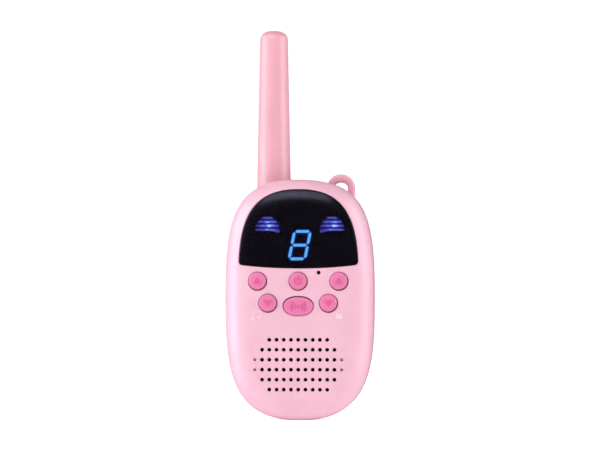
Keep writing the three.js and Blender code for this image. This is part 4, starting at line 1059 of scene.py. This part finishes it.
def eye(side):
    """The lit half-dome: level stripes over a deep blue glow."""
    node = side + "_eye_guide"
    low, high = box_mm(node)
    x, bottom = (low[0] + high[0]) / 2, eye_bottom(side)
    front = low[1] + LIT_SINK
    back = front + LIT_THICK
    stripes = []
    for level in range(EYE_COUNT):
        z = bottom + level * EYE_PITCH
        reach = eye_reach(level)
        across = np.linspace(-reach, reach, 24)
        drop = eye_droop(side, across, reach, level)
        half = EYE_THICK / 2 * np.clip(1 - (across / reach) ** 8, 0.2, 1)
        under = np.stack([x + across, z - half - drop], axis=1)
        over = np.stack([x + across, z + half - drop * 0.3], axis=1)[::-1]
        stripes.append(soft_bar(np.vstack([under, over]), front, back, LIT_ROUND))
    lamp = centre_mm(side + "_eye_lamp")
    spot = (lamp[0] + 0.7, front, lamp[2])
    tones = (linear(176, 216, 255), linear(92, 104, 206), linear(66, 58, 140))
    light = lit_eye(side + "_eye_light", spot, tones, 5.0)
    piece(together(stripes), side + "_eye_stripes", light, stands_for=[node])
    tones = (linear(44, 60, 190), linear(28, 22, 128), linear(20, 12, 84))
    glow = lit_eye(side + "_eye_glow", spot, tones, 6.0)
    plate = prism(eye_dome(side), back + 0.02, high[1])
    return piece(plate, side + "_eye_plate", glow)


# ---------------- keys


SIGN_HALF_LINE = 0.24
ARROW_HALF_WIDTH = 1.62
ARROW_BASE = 1.02
ARROW_TIP = 1.46
POWER_RADIUS = 1.4
POWER_BAR = (0.2, 2.0)
WAVE_RADII = (1.7, 2.9)
SENDING_DOT_RADIUS = 0.62


def triangle(up):
    """A solid arrow, up or down."""
    flip = 1 if up else -1
    base = -ARROW_BASE * flip
    corners = [(-ARROW_HALF_WIDTH, base), (ARROW_HALF_WIDTH, base), (0, ARROW_TIP * flip)]
    return [np.array(corners if up else corners[::-1], float)]


def arc_band(radius, half_band, start, end, steps=24):
    """A closed band along an arc, anticlockwise."""
    angles = np.radians(np.linspace(start, end, steps))
    along = np.stack([np.cos(angles), np.sin(angles)], axis=1)
    return np.vstack([along * (radius + half_band), along[::-1] * (radius - half_band)])


def power_sign():
    """An open ring with a bar through its gap."""
    line = SIGN_HALF_LINE
    ring = arc_band(POWER_RADIUS, line, 125, 415)
    return [ring, rounded_box(-line, line, *POWER_BAR, 0.1, 3)]


def sending_sign():
    """A dot between two pairs of waves."""
    shapes = [ellipse(SENDING_DOT_RADIUS, SENDING_DOT_RADIUS, SMALL_ROUND)]
    for radius in WAVE_RADII:
        for middle in (0, 180):
            shapes.append(arc_band(radius, SIGN_HALF_LINE, middle - 40, middle + 40, 14))
    return shapes


SIGNS = {
    "channel_up_key": triangle(True),
    "channel_down_key": triangle(False),
    "volume_up_key": triangle(True),
    "volume_down_key": triangle(False),
    "power_key": power_sign(),
    "talk_key": sending_sign(),
}


def key(name):
    """A cap with a rounded shoulder and a softly crowned top, and its raised sign."""
    low, high = box_mm(name)
    mid = (low + high) / 2
    body = name + "_body"
    top = low[1] + ICON_RAISE
    off = np.array(TALK_KEY_OFFSET if name == "talk_key" else KEY_OFFSET)
    shape = key_shape(name, -GAP) + off
    flange = key_shape(name, KEY_FLANGE - 0.2)
    flange_y = high[1] - KEY_FLANGE
    crown, shoulder = KEY_CROWN, KEY_SHOULDER
    rings = [at_y(flange, high[1]), at_y(flange, flange_y), at_y(shape, flange_y)]
    for angle in np.radians(np.linspace(0, 90, 9)):
        inset = shoulder * (1 - math.cos(angle))
        y = top + crown + shoulder * (1 - math.sin(angle))
        rings.append(at_y(moved_in(shape, inset), y))
    face = moved_in(shape, shoulder)
    centre = mid[[0, 2]] + off
    for share in np.linspace(0.92, 0.04, 12):
        rings.append(at_y(centre + (face - centre) * share, top + crown * share**2))
    piece(loft(rings), name + "_cap", KEY_PINK, body, [name])
    signs = []
    for shape in SIGNS[name]:
        signs.append(soft_bar(shape + centre, low[1], top + 0.3, 0.08))
    made = signs[0] if len(signs) == 1 else together(signs)
    return piece(made, name + "_sign", ICON_PINK, body)


# ---------------- grille cloth and marks


def grille_cloth():
    """The dark dust cloth behind every hole of the grille."""
    low, _ = box_mm("speaker_cloth")
    made = bar(CLOTH_RADIUS, low[1] - 0.1, low[1] + 0.15, ROUND, (0, 0, GRILLE_Z))
    return piece(made, "dust_cloth", CLOTH, stands_for=["speaker_cloth"])


MARK_RAISE = 0.14


def mark(name, shapes):
    """Low raised shapes on the front's curve, as one piece."""
    solids = []
    for shape in shapes:
        top = skin_y(shape)
        edge = moved_in(shape, 0.07)
        rings = [at_y(shape, top + 0.4), at_y(shape, top - MARK_RAISE * 0.5)]
        rings.append(at_y(edge, skin_y(edge) - MARK_RAISE))
        solids.append(loft(rings))
    made = join(solids[0], *solids[1:])
    return piece(made, name, MARK_PINK)


def note_mark():
    """Two joined notes, left of the lower keys."""
    x, z = -0.56 * HALF_WIDTH, 0.44 * BODY_HEIGHT
    heads = [(x - 1.6, z - 1.5), (x + 0.9, z - 0.9)]
    shapes = [ellipse(0.78, 0.56, 20, *head) for head in heads]
    stem_left, stem_right, stem_top = 0.42, 0.76, 2.7
    for hx, hz in heads:
        shapes.append(rounded_box(hx + stem_left, hx + stem_right, hz, hz + stem_top, 0.1, 3))
    (x0, z0), (x1, z1) = heads
    x0 += stem_left
    x1 += stem_right
    shapes.append(np.array([(x0, z0 + 2.2), (x1, z1 + 2.2), (x1, z1 + 2.8), (x0, z0 + 2.8)]))
    return mark("note_mark", shapes)


def lock_mark():
    """A padlock, right of the lower keys."""
    x, z = 0.55 * HALF_WIDTH, 0.435 * BODY_HEIGHT
    shackle = arc_band(0.85, 0.22, -5, 185) + np.array([x, z + 0.9])
    return mark("lock_mark", [rounded_box(x - 1.4, x + 1.4, z - 1.2, z + 0.95, 0.25, 4), shackle])


# ---------------- antenna


def surface_top(x, y):
    """Height of the back shell's outer surface over one point in X and Y."""
    rise = np.clip((y - (BACK_Y - EDGE_DEPTH[BACK])) / EDGE_DEPTH[BACK], 0, 0.999)
    inset = EDGE_WIDTH * (1 - math.sqrt(1 - rise**2))
    low, high = WAIST_Z, BODY_HEIGHT
    for _ in range(24):
        z = (low + high) / 2
        inside = edge_distance(np.array([[x, z]]))[0] > inset
        upper = DENSE_OUTLINE[DENSE_OUTLINE[:, 1] > WAIST_Z]
        nearest = upper[np.argmin(abs(upper[:, 0] - x))]
        if z < nearest[1] and inside:
            low = z
        else:
            high = z
    return low


def antenna():
    """A tapered rod with a rounded tip and a small flare where it stands on the shell."""
    sides = 96
    angles = np.linspace(0, 2 * math.pi, sides, endpoint=False)
    stand = BODY_HEIGHT
    taper = (ANTENNA_BASE_RADIUS - ANTENNA_TIP_RADIUS) / (ANTENNA_TOP_Z - stand)

    def ring(radius, z):
        x = ANTENNA_X + radius * np.cos(angles)
        y = ANTENNA_Y + radius * np.sin(angles)
        return np.stack([x, y, np.broadcast_to(z, sides)], axis=1)

    base, flare = ANTENNA_BASE_RADIUS, ANTENNA_FLARE
    foot = np.array([surface_top(x, y) for x, y, _ in ring(base + 0.4, 0.0)])
    rings = [ring(base, ANTENNA_LOW_Z), ring(base, foot - 1.2)]
    for angle in np.radians(np.linspace(0, 90, 7)):
        wide = base + flare * (1 - math.sin(angle))
        made = ring(wide, foot - 0.1 + (flare + 0.1) * (1 - math.cos(angle)))
        made[:, 1] = np.maximum(made[:, 1], PARTING_Y + SEAM)
        rings.append(made)
    straight = ANTENNA_TOP_Z - ANTENNA_TIP_ROUND
    for z in np.linspace(foot.max() + 3, straight, 12):
        rings.append(ring(base - taper * max(0, z - stand), z))
    tip = base - taper * (straight - stand)
    for angle in np.radians(np.linspace(8, 90, 14)):
        radius = tip - ANTENNA_TIP_REACH * (1 - math.cos(angle))
        rings.append(ring(radius, straight + ANTENNA_TIP_ROUND * math.sin(angle)))
    for share in (0.6, 0.25):
        rings.append(ring((tip - ANTENNA_TIP_REACH) * share, ANTENNA_TOP_Z))
    made = loft(rings)
    ends = (ANTENNA_LOW_Z - SPARE, ANTENNA_TOP_Z - ANTENNA_CAP)
    cut(made, bar(ANTENNA_BORE_RADIUS, *ends, ROUND, (ANTENNA_X, ANTENNA_Y, 0), "Z"))
    return piece(made, "antenna", BACK_PINK, stands_for=["antenna_cover"], sharp=50)


# ---------------- back: door, clip and screws


def battery_door():
    """The back's own surface, with a tongue down each side that closes its groove's end."""
    shape = rounded_box(-DOOR_HALF_WIDTH, DOOR_HALF_WIDTH, -4, DOOR_TOP, DOOR_CORNER)
    reach = DOOR_HALF_WIDTH + TONGUE
    tongue_y = (DOOR_UNDER_Y, DOOR_UNDER_Y + TONGUE)
    panel = prism(shape, DOOR_UNDER_Y, BACK_Y + SPARE)
    join(panel, block((-reach, reach), tongue_y, (-SPARE, WELL_TOP)))
    made = shell_half(BACK, 0, PARTING_Y)
    shared(made, panel)
    cut(made, below_foot(PARTING_Y, BACK_Y + SPARE))
    half_x, half_z = RIB_HALF
    for i in range(RIB_COUNT):
        z = WELL_BOTTOM + 5.5 + i * RIB_PITCH
        rib = rounded_box(-half_x, half_x, z - half_z, z + half_z, half_z - 0.01, 6)
        rings = [at_y(rib, BACK_Y - 0.5), at_y(rib, BACK_Y + 0.2)]
        for angle in np.radians((30, 60, 85)):
            inset = 0.42 * (1 - math.cos(angle))
            rings.append(at_y(moved_in(rib, inset), BACK_Y + 0.2 + 0.3 * math.sin(angle)))
        join(made, loft(rings))
    arrow = np.array([(-2.8, 31.6), (0, 28), (2.8, 31.6)], float)
    join(made, bevelled(prism(arrow, BACK_Y - 0.5, BACK_Y + 0.5), 0.15))
    return piece(made, "battery_cover", BACK_PINK, "battery_door_body", ["battery_door"])


def belt_clip():
    """The clip's side view as a bar across X, trimmed to round corners, then softened."""
    inner, outer = CLIP_INNER_Y, CLIP_OUTER_Y
    tip = BACK_Y + 0.7
    low, high = CLIP_Z - CLIP_LENGTH, CLIP_Z + CLIP_TAB
    side = [
        (high, inner),
        (CLIP_Z + 2, inner),
        (CLIP_Z + 1.6, CLIP_Y),
        (CLIP_Z - 1.6, CLIP_Y),
        (CLIP_Z - 2, inner),
        (low + 6, inner),
        (low + 3.5, tip),
        (low + 2, tip),
        (low, outer - 1),
        (low + 1.5, outer),
        (high - 1, outer),
        (high, outer - 0.8),
    ]
    w = CLIP_HALF_WIDTH
    made = loft([np.array([(x, y, z) for z, y in side]) for x in (-w, w)])
    shared(made, prism(rounded_box(-w, w, low, high, 3.2), BACK_Y, outer + SPARE))
    bevelled(made, 0.4, angle=25)
    pad_z = CLIP_Z - CLIP_LENGTH / 2
    half_x, half_z = CLIP_PAD
    pad = rounded_box(-half_x, half_x, pad_z - half_z, pad_z + half_z, 2)
    join(made, prism(pad, inner - CLIP_PAD_RAISE, inner + 0.5))
    join(made, bar(CLIP_BARREL_RADIUS, -w, w, ROUND, (0, CLIP_Y, CLIP_Z), "X"))
    room = CLIP_SPRING_ROOM
    spring = block((-room, room), (CLIP_Y - 3, inner - 0.2), (CLIP_Z - 2.6, CLIP_Z + 2.6))
    cut(made, pin_hole(-w, w), spring)
    for i in range(3):
        z = CLIP_Z + 2.6 + i * 1.7
        groove = bar(0.32, -5.5, 5.5, 16, (0, outer + 0.08, z), "X")
        cut(made, groove)
    return piece(made, "clip", BACK_PINK, "belt_clip_body", ["belt_clip"])


def case_screw(i):
    """A pan-head screw with a cross recess, deep in its well."""
    name = f"case_screw_{i}"
    low, high = box_mm(name)
    x, _, z = (low + high) / 2
    seat, top, length = high[1] - 1.4, high[1], high[1] - 1.4 - low[1]
    shank, head, edge = SCREW_SHANK_RADIUS, SCREW_HEAD_RADIUS, 0.75
    profile = [(0, -length), (0.45, -length), (shank, 1 - length), (shank, 0)]
    profile += [(head, 0), (head, edge)]
    for angle in np.radians((30, 60, 90)):
        profile.append((head - edge * (1 - math.cos(angle)), edge + 0.65 * math.sin(angle)))
    profile.append((0, top - seat))
    made = turned([(r, seat + y) for r, y in profile], ROUND, (x, 0, z), "Y")
    deep = 0.9
    for half_x, half_z in ((1.25, 0.28), (0.28, 1.25)):
        across = (x - half_x, x + half_x)
        cut(made, block(across, (top - deep, top + 1), (z - half_z, z + half_z)))
    return piece(made, f"screw_{i}", STEEL, stands_for=[name])


def clip_spring():
    """The clip's coil spring, a fine round wire about the pin."""
    low, high = box_mm("clip_spring")
    wire, turns, radius = 0.3, 6, (high[2] - low[2]) / 2 - 0.3
    length = high[0] - low[0] - 2 * wire
    steps = turns * 32
    rings = []
    for step in range(steps + 1):
        angle = 2 * math.pi * turns * step / steps
        out = np.array([0, math.cos(angle), math.sin(angle)])
        middle = np.array([low[0] + wire + length * step / steps, CLIP_Y, CLIP_Z]) + out * radius
        around = np.linspace(0, 2 * math.pi, 10, endpoint=False)
        along = np.array([1.0, 0, 0])
        rings.append(
            np.array([middle + wire * (math.cos(a) * out + math.sin(a) * along) for a in around])
        )
    return piece(loft(rings), "clip_coil", STEEL, stands_for=["clip_spring"])


# ---------------- build every piece

front_shell()
back_shell()
lens()
lens_print()
digit()
eye("left")
eye("right")
for key_name in key_names():
    key(key_name)
grille_cloth()
note_mark()
lock_mark()
antenna()
battery_door()
belt_clip()
for number in (1, 2, 3, 4):
    case_screw(number)
clip_spring()


# ---------------- carried-over CAD nodes

FINISHES = [
    (("_dome", "keypad_mat"), SILICONE),
    (("_lamp",), CLEAR),
    (("display_mask", "display_module", "control_chip"), BLACK),
    (("microphone",), CLOTH),
    (("main_board",), BOARD),
    (("speaker_cloth", "speaker_cone"), PAPER),
    (("speaker_magnet",), MAGNET_GREY),
    (("battery_cell",), CELL),
    (("antenna_lead",), BLACK_WIRE),
    (("speaker_lead", "battery_lead"), RED_WIRE),
]

for node_name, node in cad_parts.items():
    finish = STEEL
    for words, material in FINISHES:
        if any(word in node_name for word in words):
            finish = material
    node.data.materials.clear()
    node.data.materials.append(finish)


# ---------------- floor, light and camera


def floor_white():
    """Matt paper that also shines a little, as a lit backdrop does."""
    nodes = Nodes("floor_white")
    nodes.tint(nodes.noise(3, 2), (0.9, 0.9, 0.9), 0.99, 1.0)
    nodes.set(Roughness=0.9, Emission_Color=(1, 1, 1, 1), Emission_Strength=0.6)
    return nodes.material


def stage_sweep():
    """A pale floor that curves up into a backdrop, far enough back to look from behind too."""
    bend_y, bend_radius, top_z, half_width = 2.4, 1.2, 6.0, 8.0
    profile = [(-6.0, 0.0)]
    for angle in np.radians(np.linspace(0, 90, 13)):
        rise = bend_radius * (1 - math.cos(angle))
        profile.append((bend_y + bend_radius * math.sin(angle), rise))
    profile.append((bend_y + bend_radius, top_z))
    points = [(x, y, z) for y, z in profile for x in (-half_width, half_width)]
    faces = [(2 * i, 2 * i + 1, 2 * i + 3, 2 * i + 2) for i in range(len(profile) - 1)]
    mesh = bpy.data.meshes.new("floor")
    mesh.from_pydata(points, [], faces)
    mesh.shade_smooth()
    mesh.materials.append(floor_white())
    floor = placed("floor", mesh)
    # The sweep lights the object softly from below and isn't mirrored in the lens.
    floor.visible_glossy = False


def softbox(name, azimuth, elevation, distance, width, height, power):
    """An area light aimed at the object's middle. Azimuth 0 is in front."""
    data = bpy.data.lights.new(name, "AREA")
    data.shape = "RECTANGLE"
    data.size, data.size_y = width, height
    data.energy = power
    light = placed(name, data)
    a, e = math.radians(azimuth), math.radians(elevation)
    away = Vector((math.sin(a) * math.cos(e), -math.cos(a) * math.cos(e), math.sin(e)))
    light.location = TARGET + away * distance
    light.rotation_mode = "QUATERNION"
    light.rotation_quaternion = away.to_track_quat("Z", "Y")


scene = bpy.context.scene
scene.view_settings.view_transform = "Standard"
TARGET = Vector((0, PARTING_Y * MM, ANTENNA_TOP_Z * MM / 2))

stage_sweep()
# Name, azimuth, elevation, distance, width, height and power.
softbox("key_light", -12, 50, 1.5, 1.1, 0.8, 15)
softbox("left_light", -80, 8, 1.1, 0.8, 1.3, 17)
softbox("right_light", 80, 8, 1.1, 0.6, 1.3, 11.5)

world = bpy.data.worlds.new("studio")
world.use_nodes = True
fill(world.node_tree.nodes["Background"], Color=(1, 1, 1, 1), Strength=0.26)
scene.world = world
# The room itself is dark in reflections: only the softboxes are mirrored.
world.cycles_visibility.glossy = False

VIEW_AZIMUTH = math.radians(3.4)
FRAME_WIDTH = 0.24  # what the picture takes in at the object, in metres
LENS_LENGTH = 250
camera_data = bpy.data.cameras.new("camera")
camera_data.lens = LENS_LENGTH
camera = placed("camera", camera_data)
distance = FRAME_WIDTH * camera_data.lens / camera_data.sensor_width
toward = Vector((math.sin(VIEW_AZIMUTH), -math.cos(VIEW_AZIMUTH), 0))
camera.location = TARGET + toward * distance
camera.rotation_euler = (math.pi / 2, 0, VIEW_AZIMUTH)
camera_data.clip_end = 20
scene.camera = camera
